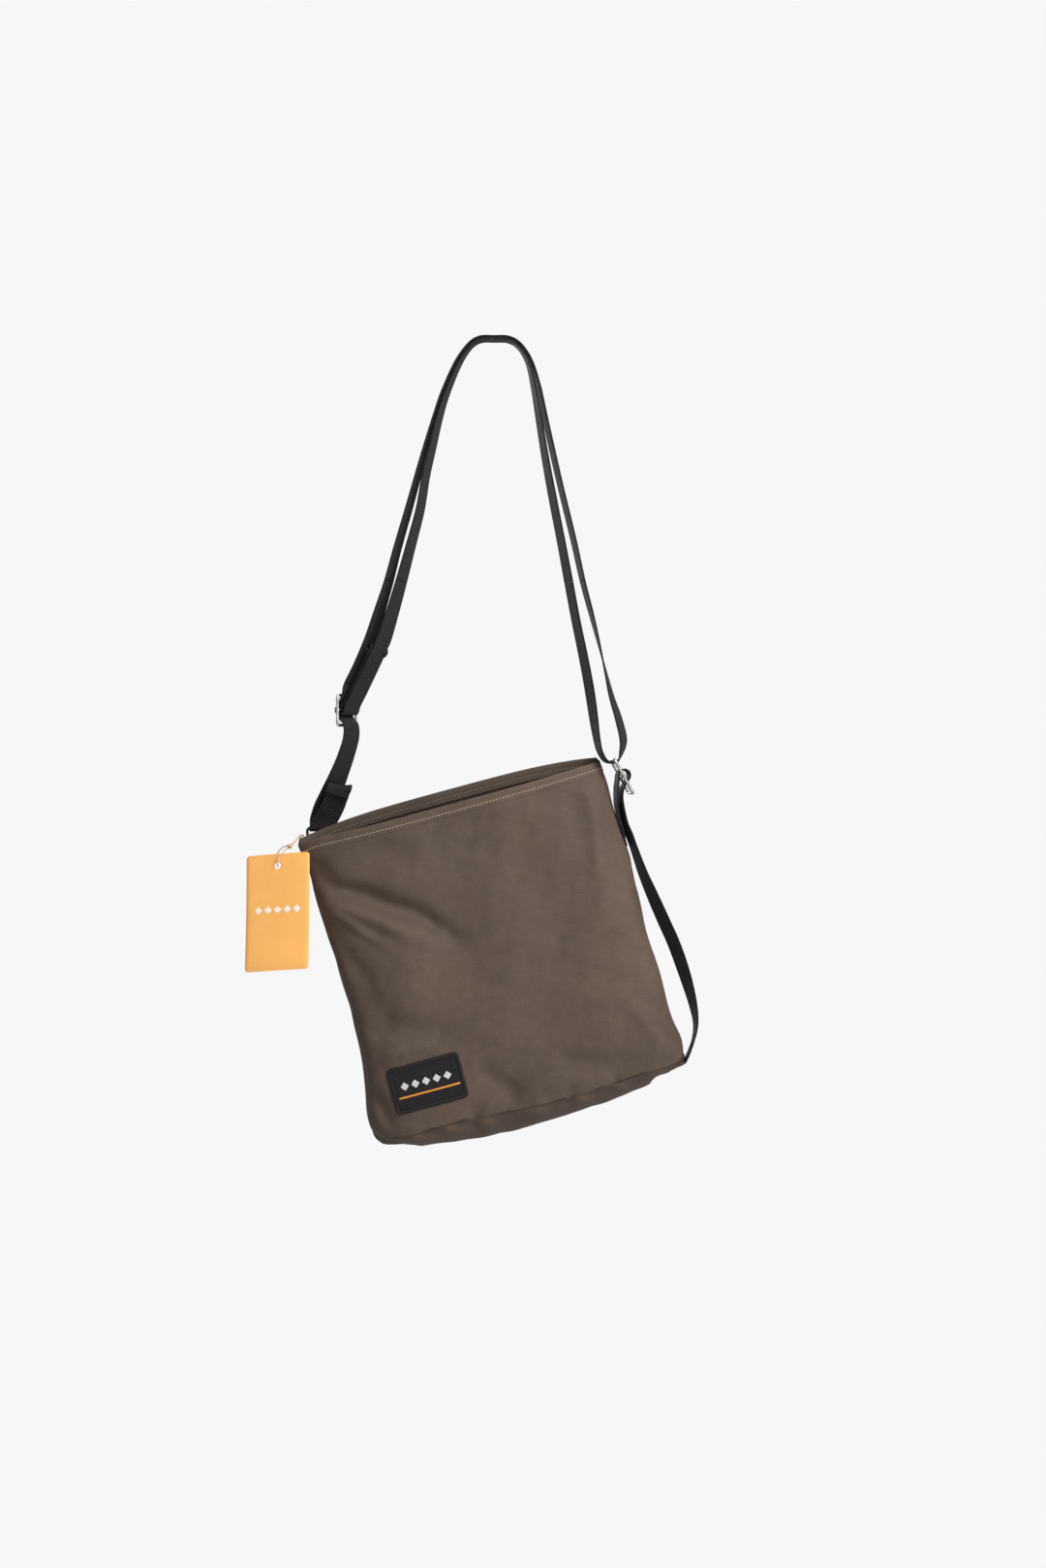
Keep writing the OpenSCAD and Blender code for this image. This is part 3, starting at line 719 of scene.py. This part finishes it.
def make_shell():
    grid, dent = bag_grid()
    rows, columns = grid.shape[:2]
    out = normals_of(grid)
    walls = len(WALL_ROWS)
    hemmed = WALL_ROWS * BAG_H < HEM
    grid[:walls] += out[:walls] * np.where(hemmed, 0.55, 0)[:, None, None]
    wear_and_painted_light = np.zeros((rows, columns))
    # Fold ridges lighter, part rubbed wax and part painted highlight; the hem band a little lighter.
    wear_and_painted_light[:walls] = np.clip(-dent / 3.2, 0, 1) * 0.5 + np.where(hemmed, 0.28, 0)[:, None]
    wear_and_painted_light[0] = 0.9
    wear_and_painted_light[1] = 0.6
    wear_and_painted_light[walls - 3:walls] = 0.75
    # Painted highlights on the ridges of the base puckers, standing in for their shading.
    for row, k in enumerate(BASE_RINGS):
        ridge = puckers(grid[walls - 1, :, 0], k)
        wear_and_painted_light[walls + row] = np.clip(0.25 - ridge / 2.6, 0, 1) * math.exp(-k * 3)
    inner = grid - out * CLOTH
    points = np.vstack([to_part(grid).reshape(-1, 3), to_part(inner).reshape(-1, 3)])
    shift = rows * columns
    faces = sweep_faces(rows, columns, caps=False)
    faces += [tuple(k + shift for k in (face[0], *face[:0:-1])) for face in faces]
    faces += [(c, (c + 1) % columns, (c + 1) % columns + shift, c + shift) for c in range(columns)]
    last = (rows - 1) * columns
    for start, way in ((last, -1), (last + shift, 1)):
        for c in range(columns // 2):
            quad = tuple(dict.fromkeys(start + k % columns for k in (c, c + 1, columns - c - 1, columns - c)))
            if len(quad) > 2:
                faces.append(quad[::way])
    # Inner faces take -1: painted shade inside the bag.
    both = np.concatenate([wear_and_painted_light.ravel(), np.full(wear_and_painted_light.size, -1.0)])
    panels = "front_panel", "back_panel", "left_gusset", "right_gusset", "base_panel"
    shell = mesh_piece("bag_shell", points, faces, "canvas", "bag", panels, wear_and_painted_light=both)
    return shell, grid, out


shell, GRID, OUT = make_shell()
TREE = BVHTree.FromPolygons([tuple(v.co) for v in shell.data.vertices],
                            [tuple(f.vertices) for f in shell.data.polygons])


def make_hem():
    """The turned hem inside the rim, and both rows of top-stitching."""
    wall = GRID[:len(WALL_ROWS)]
    out = OUT[:len(WALL_ROWS)].copy()
    depth = WALL_ROWS * BAG_H

    def at(level, offset):
        i = np.searchsorted(depth, level)
        t = (level - depth[i - 1]) / (depth[i] - depth[i - 1]) if i else 0
        p = wall[i] if i == 0 else wall[i - 1] * (1 - t) + wall[i] * t
        n = out[max(i, 2)]
        return p + n * offset, n

    profile = [(0.0, -1.2), (0.25, -2.1), (1.2, -2.75), (4, -2.7), (8.6, -2.7), (9.6, -2.3), (9.8, -1.5)]
    rings = np.array([to_part(at(level, offset)[0]) for level, offset in profile])
    points = rings.transpose(1, 0, 2).reshape(-1, 3)
    faces = sweep_faces(rings.shape[1], len(profile), closed=True)
    hems = "front_hem", "back_hem", "left_hem", "right_hem"
    mesh_piece("rim_hem_inside", points, faces, "hem", "bag", hems)
    for name, level, offset, look in (("rim_topstitch_outside", 6.2, 0.05, "sand_thread"),
                                      ("rim_topstitch_inside", 6.0, -2.75, "shaded_thread")):
        line, n = at(level, offset)
        world = to_part(np.vstack([line, line[:1]]))
        normal = to_part(np.vstack([n, n[:1]])) - RIM_MIDDLE
        made = joined(*stitch_line(world, normal * np.sign(offset), 2.75, 0.95, 0.56))
        mesh_piece(name, *made, "hem", body="bag", look=look)


make_hem()


# The tape's section: into the bag, and across the folded edge.
BINDING = [(2.2, -1.2), (6.6, -1.25), (8.4, -0.9), (9.0, 0), (8.4, 0.9), (6.6, 1.25), (2.2, 1.2)]


def make_seam_bindings():
    """Bound seam allowances inside the bag, down the front corner and up the back one."""
    rows = np.arange(11, len(WALL_ROWS) - 2, 2)
    for name, column, way in (("left_seam_binding", 0, 1), ("right_seam_binding", COLUMNS, -1)):
        front = [GRID[r, (column + 5 * way) % (2 * COLUMNS)] for r in rows]
        back = [GRID[r, (column - 6 * way) % (2 * COLUMNS)] for r in rows[::-1]]
        low = [front[-1] * (1 - t) + back[0] * t + (way * 3, 0, 3) for t in (0.2, 0.4, 0.6, 0.8)]
        made = []
        for line, into in ((front, (way, 0.75, 0)), (low, (way * 0.2, 0, 1)), (back, (way, -0.75, 0))):
            line, into = np.array(line), unit(into)
            folds = unit(np.cross(tangents(line), into))
            rings = [[p + into * a + fold * b for a, b in BINDING] for p, fold in zip(line, folds)]
            made.append((to_part(np.array(rings)).reshape(-1, 3), sweep_faces(len(line), len(BINDING))))
        points, faces = joined(*made)
        mesh_piece(name + "_tape", points, faces, "binding", "bag", [name], points[:, [0, 2]])


make_seam_bindings()

# ----- woven label -----


BACK_FACE = 18.0


def face_y(x, z, way=1):
    """Y of the shell's outer face at x, z: its front, or its back for way -1."""
    hit = TREE.ray_cast(Vector((x * MM, -0.2 * way, z * MM)), Vector((0, way, 0)))[0]
    return BACK_FACE if hit is None else hit.y / MM


def bow_terms(u, v):
    return 1, u, v, u * u, u * v, v * v


LABEL_LIFT = 0.15
LABEL_SAMPLES = [(u, v) for u in (-28, -14, 0, 14, 28) for v in (-18, -9, 0, 9, 18)]
LABEL_FIT = np.linalg.lstsq(np.array([bow_terms(u, v) for u, v in LABEL_SAMPLES]),
                            [face_y(*to_part((LABEL_X + u, 0, LABEL_Z + v))[[0, 2]])
                             for u, v in LABEL_SAMPLES], rcond=None)[0]


def on_label(u, v, height):
    """A point of the label's stiff, gently bowed sheet, that far in front of the cloth."""
    point = to_part((LABEL_X + u, 0, LABEL_Z + v))
    point[1] = LABEL_FIT @ bow_terms(u, v) - height - LABEL_LIFT
    return point


def rounded_rect(w, h, r, count=12):
    points = []
    for k, (cx, cy) in enumerate(((1, 1), (-1, 1), (-1, -1), (1, -1))):
        for a in np.linspace(0, 90, count) + 90 * k:
            points.append((cx * (w / 2 - r) + r * math.cos(math.radians(a)),
                           cy * (h / 2 - r) + r * math.sin(math.radians(a))))
    return np.array(points)


def resampled(points, pitch):
    """A closed outline at an even pitch."""
    line = np.vstack([points, points[:1]])
    along = lengths(line)
    return at_length(np.linspace(0, along[-1], int(along[-1] / pitch), endpoint=False), along, line)


def label_plate(outline, low, high):
    """A thin plate of that outline on the label, as rings that close to its middle."""
    middle = outline.mean(0)
    rings = [(1.0, low), (1.0, high - 0.1), (0.985, high)] + [(k, high) for k in (0.8, 0.6, 0.4, 0.2, 0.02)]
    points = np.array([on_label(*(middle + (p - middle) * k), h) for k, h in rings for p in outline])
    return points, sweep_faces(len(rings), len(outline))


def diamond(cx, cy, size):
    corners = np.array([(cx + size / 2, cy), (cx, cy + size / 2), (cx - size / 2, cy), (cx, cy - size / 2)])
    return resampled(corners, size / 9)


LABEL_GROUND, LABEL_EDGE, LABEL_LINE = (56, 34, 1.5), (57.6, 35, 1.9), (51.5, 1.5, 0.5)
EDGE_PITCH, EDGE_STITCH = 0.28, 1.12
# The overlocked edge's section: outwards, and off the cloth.
EDGE_SECTION = [
    (-1.55, -0.5), (-1.5, 0.4), (-1.1, 1.1), (-0.4, 1.45), (0.4, 1.47), (1.1, 1.1), (1.5, 0.4), (1.6, -0.5)]


def make_label():
    plate = label_plate(resampled(rounded_rect(*LABEL_GROUND), 1.5), -0.3, 0.6)
    mesh_piece("label_cloth", *plate, "label_black", "bag", ["label_ground"])
    path = resampled(rounded_rect(*LABEL_EDGE), EDGE_PITCH)
    turn = np.roll(path, -1, 0) - np.roll(path, 1, 0)
    side = unit(np.column_stack([turn[:, 1], -turn[:, 0]]))
    thread = 0.92 + 0.08 * np.abs(np.sin(np.arange(len(path)) * EDGE_PITCH * math.pi / EDGE_STITCH))
    points = np.array([on_label(*(p + s * a), h * lift) for p, s, lift in zip(path, side, thread)
                       for a, h in EDGE_SECTION])
    faces = sweep_faces(len(path), len(EDGE_SECTION), closed=True)
    mesh_piece("label_overlocked_edge", points, faces, "label_edge", "bag", ["label_border"])
    plate = label_plate(resampled(rounded_rect(*LABEL_LINE), 0.8) + (0.3, -6.3), 0.5, 0.85)
    mesh_piece("label_orange_line", *plate, "label_orange", "bag", ["label_line"])
    plates = [label_plate(diamond(9 * k - 0.5, 2.4, 7), 0.5, 0.9) for k in range(-2, 3)]
    mesh_piece("label_diamonds", *joined(*plates), "label_white", "bag", ["label_motif"])


make_label()

# ----- shoulder strap -----

CROWN_OUTER = [
    (-87.8, 3.2, -200, 18), (-80.4, 2.6, -172, 15), (-70.6, 1.8, -138, 13), (-62.8, 1.2, -110, 11),
    (-55.2, 0.8, -84, 10), (-48.4, 0.5, -62, 9), (-42.2, 0.2, -43, 7), (-31.6, 0, -18.6, 4),
    (-21.4, 0, -3.6, 0), (-12, 0, 2.2, 0), (0, 0, 2.6, 0), (12, 0, 2.2, 0), (22, 0, -3.4, 0),
    (30.6, 0, -17, -4), (37, 0, -38, -7), (41.6, 0.4, -60, -9), (48.6, 1, -92, -10), (56, 1.6, -124, -10),
    (66.2, 2.4, -166, -10), (73.8, 3, -200, -9)]
CROWN_INNER = [
    (-77.2, 0.6, -200, 24), (-69.2, 0.4, -170, 20), (-61.4, 0.3, -140, 17), (-56.6, 0.2, -112, 15),
    (-50.8, 0.1, -87, 13), (-45.4, 0, -64, 11), (-39.4, 0, -44.6, 8), (-29.2, 0, -20.4, 4),
    (-19.8, 0, -5.8, 0), (-11.4, 0, 0.2, 0), (0, 0, 0.75, 0), (11.4, 0, 0.2, 0), (20.2, 0, -5.4, 0),
    (28, 0, -18.6, -5), (33, 0, -40, -9), (36.8, 0.2, -62, -12), (42, 0.6, -94, -14), (48.2, 1, -128, -16),
    (56.4, 1.8, -170, -17), (62, 2.4, -200, -18)]
SLIDE_C = np.array([106.2, 4, -361.6])
SLIDE_LEAN = math.radians(28.9)
SLIDE_LEN, SLIDE_WIRE, SLIDE_GAP = 34.3, 2.6, 21.4
TOP_BAR = SLIDE_C + 15.85 * np.array([-math.sin(SLIDE_LEAN), 0, math.cos(SLIDE_LEAN)])
BX, BZ = TOP_BAR[0], TOP_BAR[2] - 2.55
BIGHT = [
    (68, 2.8, -232, -18), (74.2, 3.2, -262, -19), (79.4, 3.6, -290, -20), (82.8, 3.9, -313, -18),
    (85, 3.8, -328, -14), (87.6, 3.7, -340, -11), (92, 3.8, -348, -9), (BX - 1, 4, BZ - 0.1, -7),
    (BX + 4.2, 4, BZ + 1.6, -2), (105.6, 4, -342.5, 9), (107.4, 4, -331, 18), (103.6, 4, -314, 18),
    (97.9, 3.8, -296, 13), (93, 3.6, -276, 6), (87.8, 3.4, -254, -1), (81.2, 3.2, -228, -7)]
LEFT_INNER = [(-93.5, -1.8, -253, 33), (-90, -1, -244, 32), (-83.4, 0, -222, 28)]
ADJ_C = np.array([-123, 9, -306.6])
ADJ_TURN = 36
ADJ_LEN = 27.6


def adj(n, v):
    """A row of the weave, out along the adjuster's face by n and up by v."""
    a = math.radians(ADJ_TURN)
    return (ADJ_C[0] + n * math.cos(a), ADJ_C[1] - n * math.sin(a), ADJ_C[2] + v, ADJ_TURN)


LEFT_OUTER = [(-94.6, 3.8, -222, 23), (-102.4, 4.6, -247, 29), (-111, 5.2, -269, 34), adj(5.2, 21)]
STEPS = 9
STRAP = smooth([(-99.4, -1, -265.8, 35)] + LEFT_INNER + CROWN_INNER + BIGHT + CROWN_OUTER[::-1] + LEFT_OUTER
               + [adj(4.6, 15)], STEPS)


def strap_run(name, node, first, last, body=None):
    """The piece of the strap between two of its rows."""
    return web_piece(name, ribbon(STRAP, first * STEPS, last * STEPS), node, body)


strap_run("strap_inner", "strap_inner_run", 4, 23, "strap")
strap_run("strap_outer", "strap_outer_run", 40, 59, "strap")
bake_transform(strap_run("strap_bight", "strap_right_bight", 23, 40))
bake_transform(strap_run("strap_inner_lower", "strap_left_inner", 1, 4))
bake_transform(strap_run("strap_outer_lower", "strap_left_outer", 59, 63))

WEAVE_R, END_R = 4.35, 2.55


def round_adjuster(radius, first, last, count):
    """Rows round the adjuster's middle bar."""
    turn = np.radians(np.linspace(first, last, count))
    return [adj(radius * math.cos(a), radius * math.sin(a)) for a in turn]


weave = np.vstack([
    smooth([(-111, 5.2, -269, 34), adj(5.2, 21), adj(3.6, 15), adj(0.8, 8.6), adj(-1.4, 5.6)], 6),
    round_adjuster(WEAVE_R, 112, 248, 14),
    smooth([adj(-1.4, -5.6), adj(0.8, -8), adj(3.9, -11), adj(5.2, -16.5), (-119.8, 7.6, -332, 38)], 6)])
web_piece("strap_through_adjuster", ribbon(weave, 6, len(weave) - 7), "strap_weave", "adjuster")

end_rows = np.vstack([
    smooth([(-90, -1, -244, 32), (-93.5, -1.8, -253, 33), (-99.4, -1, -265.8, 35), (-106, 1, -279.4, 36),
            (-112.4, 3.6, -292.4, 36), adj(6.6, 4), adj(4.6, -1.4), adj(2.4, -3.4)], 6),
    round_adjuster(END_R, -78, -276, 16),
    smooth([adj(2.4, 3.6), (-118, 6.5, -298.8, 36), (-114.1, 4.9, -292, 36), (-107.7, 2.3, -279, 36),
            (-101.1, 0.3, -265.4, 35), (-98.4, -0.2, -259.6, 34), (-97.2, 0.5, -256.9, 34),
            (-98.2, 1.9, -257.5, 34), (-100.2, 1.7, -261.6, 34), (-102.6, 2.2, -266.5, 35)], 6)])
web_piece("strap_sewn_end", ribbon(end_rows, 6), "strap_end", "adjuster")

RING_X, RING_Y, RING_Z, RING_PITCH, RING_WIRE = -145.0, 21.55, -404.9, 7.6, 2.5
BAR_R = 2.3
lower = np.vstack([
    smooth([adj(4.6, -11), adj(5.2, -16.5), (-119.8, 7.6, -332, 38), (-124.4, 10.4, -346.4, 42),
            (-130.2, 14, -360.8, 50), (-136, 17.6, -374, 60), (-141.6, 20.6, -386, 66),
            (-145.2, RING_Y + BAR_R, -399, 87)], 8),
    [(RING_X, RING_Y + BAR_R * math.cos(math.pi * t), RING_Z - BAR_R * math.sin(math.pi * t), 88 + 2 * t)
     for t in np.linspace(0, 1, 14)],
    smooth([(-144.4, RING_Y - BAR_R, -402.5, 90), (-140.8, 18.4, -397, 86), (-135.6, 15.2, -388, 79),
            (-132.2, 12.6, -380, 74), (-129.2, 10.4, -372, 73), (-128.3, 8.7, -369.6, 73),
            (-129.1, 6.9, -371.6, 73), (-131.6, 7.6, -377.5, 73)], 6)])
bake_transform(web_piece("strap_to_ring", ribbon(lower, 8, 40), "strap_lower"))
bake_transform(web_piece("strap_ring_loop", ribbon(lower, 40), "strap_anchor_loop"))

# ----- sewn patches -----


def thread_piece(name, made, node, body=None):
    return mesh_piece(name, *joined(*made), "black_thread", body, [node])


def patch_on(rows, point, width, height, lifts):
    """Box stitches on both faces of a tape by a point, lifted that far off its middle."""
    centre = rows[:, :3]
    at = int(np.argmin(np.linalg.norm(centre - np.array(point), axis=1)))
    t = tangents(centre)[at]
    angle = math.radians(rows[at][3])
    level = np.array([math.sin(angle), math.cos(angle), 0])
    u = unit(level - (level @ t) * t)
    made = []
    for side, lift in zip((1, -1), lifts):
        n = np.cross(t, u) * side
        made += box_stitches(centre[at] + n * lift, u, t, n, width, height)
    return made


patches = patch_on(end_rows[:48], (-102.4, -0.4, -272), 14, 14, (0.78, 3.3))
thread_piece("strap_end_box_stitch", patches, "strap_end_stitching", "adjuster")
patches = patch_on(lower[60:], (-137, 16.2, -388), 14, 7, (0.78, 0.78))
loop_stitches = thread_piece("ring_loop_box_stitch", patches, "strap_anchor_stitching")
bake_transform(loop_stitches)

# ----- left tab -----

LOW_Z = RING_Z - RING_PITCH


def make_left_tab():
    face = max(face_y(RING_X + dx, LOW_Z - 20, -1) for dx in (-9, 0, 9))
    under, over = face + 0.8, face + 2.35
    drops = (12, 18, 24, 30)
    rows = [(RING_X, under, LOW_Z - z, 90) for z in reversed(drops)] + [(RING_X, RING_Y - 2.0, LOW_Z - 5, 90)]
    rows += [(RING_X, RING_Y + BAR_R * math.cos(a), LOW_Z + BAR_R * math.sin(a), 90)
             for a in np.radians(np.linspace(190, -10, 12))]
    rows += [(RING_X, RING_Y + 1.8, LOW_Z - 5, 90)] + [(RING_X, over, LOW_Z - z, 90) for z in drops]
    web_piece("left_tab_webbing", ribbon(smooth(rows, 3)), "left_tab", "bag")
    middle = (RING_X, over + 0.75, LOW_Z - 20)
    thread_piece("left_tab_box_stitch", box_stitches(middle, (1, 0, 0), (0, 0, 1), (0, 1, 0), 15, 14),
                 "left_tab_stitching", "bag")


make_left_tab()

# ----- side strap on the right -----

SIDE_X = 130.9


def on_side(s, lift):
    """A row on the right gusset, s down from the front rim."""
    c, k = math.cos(BAG_TILT), math.sin(BAG_TILT)
    return (RIM_MIDDLE[0] + (SIDE_X + lift) * c + s * k, 4, RIM_MIDDLE[2] + (SIDE_X + lift) * k - s * c, 0)


def make_side_strap():
    rows = smooth([
        on_side(72, 0.2), on_side(56, 0.3), (*on_side(40, 0.6)[:3], -6), (101.6, 4, -374, -9),
        (102.3, 4, -365, -8), (103.2, 4, -358.4, -6), (107.2, 4, -356, -6), (110.9, 4, -357.6, -6),
        (112, 4, -361.4, -6), (110.2, 4, -365.2, -6), (107.2, 4, -369.6, -7), (105, 4, -377, -10),
        (105, 4, -386, -15), (107.9, 3.8, -400, -17), (112.2, 3.4, -410, -16), (116.2, 2.8, -421, -15),
        (123.2, 1, -441, -20), (131.2, -2, -460, -26), (140.4, -5, -481, -29), (149.2, -7.4, -501, -29),
        (157.6, -9.6, -525, -26), (164.2, -11.4, -549, -16), (166.6, -12.2, -566, -6),
        (164.6, -13, -579, 0), (160.8, -13, -590, 0), (157.6, -13, -597, 0)], 7)
    web_piece("side_strap_webbing", ribbon(rows), "right_side_strap", "bag")
    middle = np.array(on_side(55, 1.2)[:3])
    thread_piece("side_tab_box_stitch", box_stitches(middle, (0, 1, 0), -UP, ACROSS, 14, 20),
                 "right_tab_stitching", "bag")


make_side_strap()

# ----- metal -----


def three_bar(length):
    """A three-bar slide of bent wire: a rounded loop and a middle bar, thicker where it is welded on."""
    wire = SLIDE_WIRE
    w, h, r = SLIDE_GAP + wire, length - wire, 2.6
    loop = np.array([(0, a, b) for a, b in resampled(rounded_rect(w, h, r, 10), 0.9)])
    bar = np.column_stack([np.zeros(15), np.linspace(-w / 2, w / 2, 15), np.zeros(15)])
    made = [tube(loop, wire / 2, closed=True, sides=16), tube(bar, wire / 2 * 0.96, sides=16)]
    for end in (-1, 1):
        weld = np.array([(0, end * (w / 2 + out), 0) for out in (-2.2, -1.2, -0.4, 0.3)])
        made.append(tube(weld, wire / 2 * 1.16, sides=16))
    return joined(*made)


def placed(made, place, turn_y, turn_z):
    """A piece turned about y, then about z, and moved."""
    points, faces = made
    return points @ np.array(Euler((0, turn_y, turn_z)).to_matrix()).T + place, faces


SLIDE_TURN = 0.105
wire_slide = placed(three_bar(SLIDE_LEN), SLIDE_C, -SLIDE_LEAN, SLIDE_TURN)
mesh_piece("right_three_bar_slide", *wire_slide, "slide_metal", "right_slide", ["right_slide"])
wire_adjuster = placed(three_bar(ADJ_LEN), ADJ_C, 0, -math.radians(ADJ_TURN))
mesh_piece("adjuster_three_bar_slide", *wire_adjuster, "slide_metal", "adjuster", ["adjuster_slide"])


def make_ring():
    half = WEB_W / 2 + 0.6 + RING_WIRE / 2
    shape = resampled(rounded_rect(2 * half, RING_PITCH, 2.4, 10), 0.9)
    path = np.array([(a, 0, b) for a, b in shape]) + (RING_X, RING_Y, RING_Z - RING_PITCH / 2)
    weld = np.array([(RING_X + a, RING_Y, LOW_Z) for a in (-1.6, -0.8, 0, 0.8, 1.6)])
    wire = joined(tube(path, RING_WIRE / 2, closed=True, sides=16), tube(weld, RING_WIRE / 2 * 1.1, sides=16))
    mesh_piece("left_wire_ring", *wire, "ring_black", "left_ring", ["left_ring"])


make_ring()

# ----- tag and twine -----

HOLE = np.array([-178.6, -10.6, -435.6])
TAG_U = unit((0.968, -0.243, 0.076))
TAG_V = unit((-0.011, 0.259, 0.966))
TAG_N = unit(np.cross(TAG_U, TAG_V))
TAG_W, TAG_H, TAG_T, TAG_EDGE, HOLE_D, HOLE_DROP = 55.0, 98.0, 0.5, 0.12, 5.6, 10.0


def on_tag(u, v, n):
    """A point of the card, which bows a little along its height and stays put at its hole."""
    bow = 1.1 * (((v + 40) / 50) ** 2 - 0.64) - 0.5 * (u / 27) ** 2
    return HOLE + u * TAG_U + v * TAG_V + (n + bow) * TAG_N


def make_tag():
    middle = np.array([0, HOLE_DROP - TAG_H / 2])
    outline = resampled(rounded_rect(TAG_W, TAG_H, 2.6, 8), 1.6) + middle
    angle = np.arctan2(outline[:, 1], outline[:, 0])
    hole = HOLE_D / 2 * np.column_stack([np.cos(angle), np.sin(angle)])
    shrunk = middle + (outline - middle) * (1 - TAG_EDGE / 27)
    grown = hole * (1 + TAG_EDGE / 2.8)
    face = [grown + (shrunk - grown) * k for k in (0, 0.04, 0.12, 0.25, 0.4, 0.55, 0.7, 0.85, 1)]
    rings = [(ring, TAG_T) for ring in face] + [(outline, TAG_T - TAG_EDGE), (outline, TAG_EDGE)]
    rings += [(ring, 0.0) for ring in reversed(face)] + [(hole, TAG_EDGE), (hole, TAG_T - TAG_EDGE)]
    points = np.array([on_tag(u, v, n) for ring, n in rings for u, v in ring])
    faces = sweep_faces(len(rings), len(outline), closed=True)
    mesh_piece("hang_tag_card", points, faces, "card", "tag", ["tag_card"])
    made = []
    for k in range(-2, 3):
        shape = diamond(8.4 * k, -37, 6.6)
        mid = shape.mean(0)
        levels = [(1, -0.05), (1, 0.05), (0.97, 0.08), (0.5, 0.08), (0.02, 0.08)]
        flat = np.array([on_tag(*(mid + (p - mid) * s), TAG_T + n) for s, n in levels for p in shape])
        made.append((flat, sweep_faces(len(levels), len(shape))))
    mesh_piece("hang_tag_diamonds", *joined(*made), "card_print", "tag", ["tag_motif"])


make_tag()


TWINE_D, PLIES, PLY_PITCH = 1.3, 2, 4.2


def twisted(path):
    """Twine whose plies wind round the path, and the line they wind round."""
    along = lengths(path)
    even = np.linspace(0, along[-1], int(along[-1] / 0.3))
    line = at_length(even, along, path)
    t = tangents(line)
    pairs = turned_along(t, np.cross(t[0], (0.3, 0.2, 1)))
    made = []
    for ply in range(PLIES):
        turn = even / PLY_PITCH * 2 * np.pi + 2 * np.pi * ply / PLIES
        centre = np.array([p + TWINE_D * 0.24 * (math.cos(a) * u + math.sin(a) * v)
                           for p, a, (u, v) in zip(line, turn, pairs)])
        made.append(tube(centre, TWINE_D * 0.29, sides=8))
    return made, line


def fuzz(line, count, seed, reach=2.2):
    """Short stray fibres of the twine."""
    draw = np.random.default_rng(seed)
    made = []
    for _ in range(count):
        at = line[draw.integers(2, len(line) - 2)]
        way = unit(draw.normal(size=3))
        bend = unit(draw.normal(size=3))
        size = draw.uniform(0.5, 1) * reach
        path = [at + way * size * k / 3 + bend * size * 0.25 * (k / 3) ** 2 for k in range(4)]
        made.append(tube(path, 0.06, sides=4))
    return made


KNOT = np.array([-168.8, -8.4, -419.4])
TWINE_LOOP = [
    (-152.5, 25.6, -418), (-157, 25, -416), (-159.7, 20.6, -412.4), (-160.6, 16, -410.7),
    (-162, 9.5, -411.1), (-163.6, 3, -413.4), (-165.6, -3, -416), (-167.2, -6.6, -418),
    (-168.8, -8.4, -419.4)]
TWINE_SECOND = [
    (-152.5, 25.6, -420.2), (-157.4, 25.4, -418.6), (-161.2, 20.8, -414.6), (-162.3, 15.5, -412.3),
    (-163.6, 9.5, -412.7), (-165, 3, -415.3), (-166.8, -3, -417.7), (-168.2, -7, -419.5),
    (-168.9, -9, -420.8)]
TWINE_DROP = [
    (-169.8, -9, -421), (-174, -11.4, -424), (-177.6, -13.2, -429), (-178.8, -12.9, -434.4),
    (-178.8, -10.4, -436.2), (-179, -7.4, -434.6), (-180.8, -5.8, -430), (-178.2, -6, -423.6),
    (-173.6, -6.6, -419.8), (-170.4, -7.6, -419.2)]


def make_twine():
    loop_path, second_path, drop_path = (smooth(rows, 6) for rows in (TWINE_LOOP, TWINE_SECOND, TWINE_DROP))
    plies, loop_line = twisted(loop_path)
    loop = mesh_piece("twine_over_rim", *joined(*plies), "twine", "bag")
    angle = np.linspace(0, 2 * np.pi, 28, endpoint=False)
    turn = np.column_stack([1.7 * np.cos(angle), 1.3 * np.sin(angle), 1.3 * np.sin(2 * angle)])
    wraps = [tube(KNOT + turn[:, order] + (shift, 0, 0), radius, closed=True, sides=8) for order, shift, radius
             in (([0, 1, 2], 0, 0.66), ([2, 0, 1], 0, 0.66), ([1, 2, 0], 0.8, 0.6))]
    stray = fuzz(loop_line, 26, 4) + fuzz(np.tile(KNOT, (9, 1)), 9, 6, 3.4)
    knot = mesh_piece("twine_knot", *joined(*wraps, *stray), "twine", "bag")
    second = mesh_piece("twine_over_rim_second", *joined(*twisted(second_path)[0]), "twine", "bag")
    plies, drop_line = twisted(drop_path)
    drop = mesh_piece("twine_through_tag", *joined(*plies), "twine", "tag")
    fibres = mesh_piece("twine_through_tag_fibres", *joined(*fuzz(drop_line, 22, 5)), "twine", "tag")
    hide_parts("tag_twine_loop")
    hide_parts("tag_twine_drop")


make_twine()
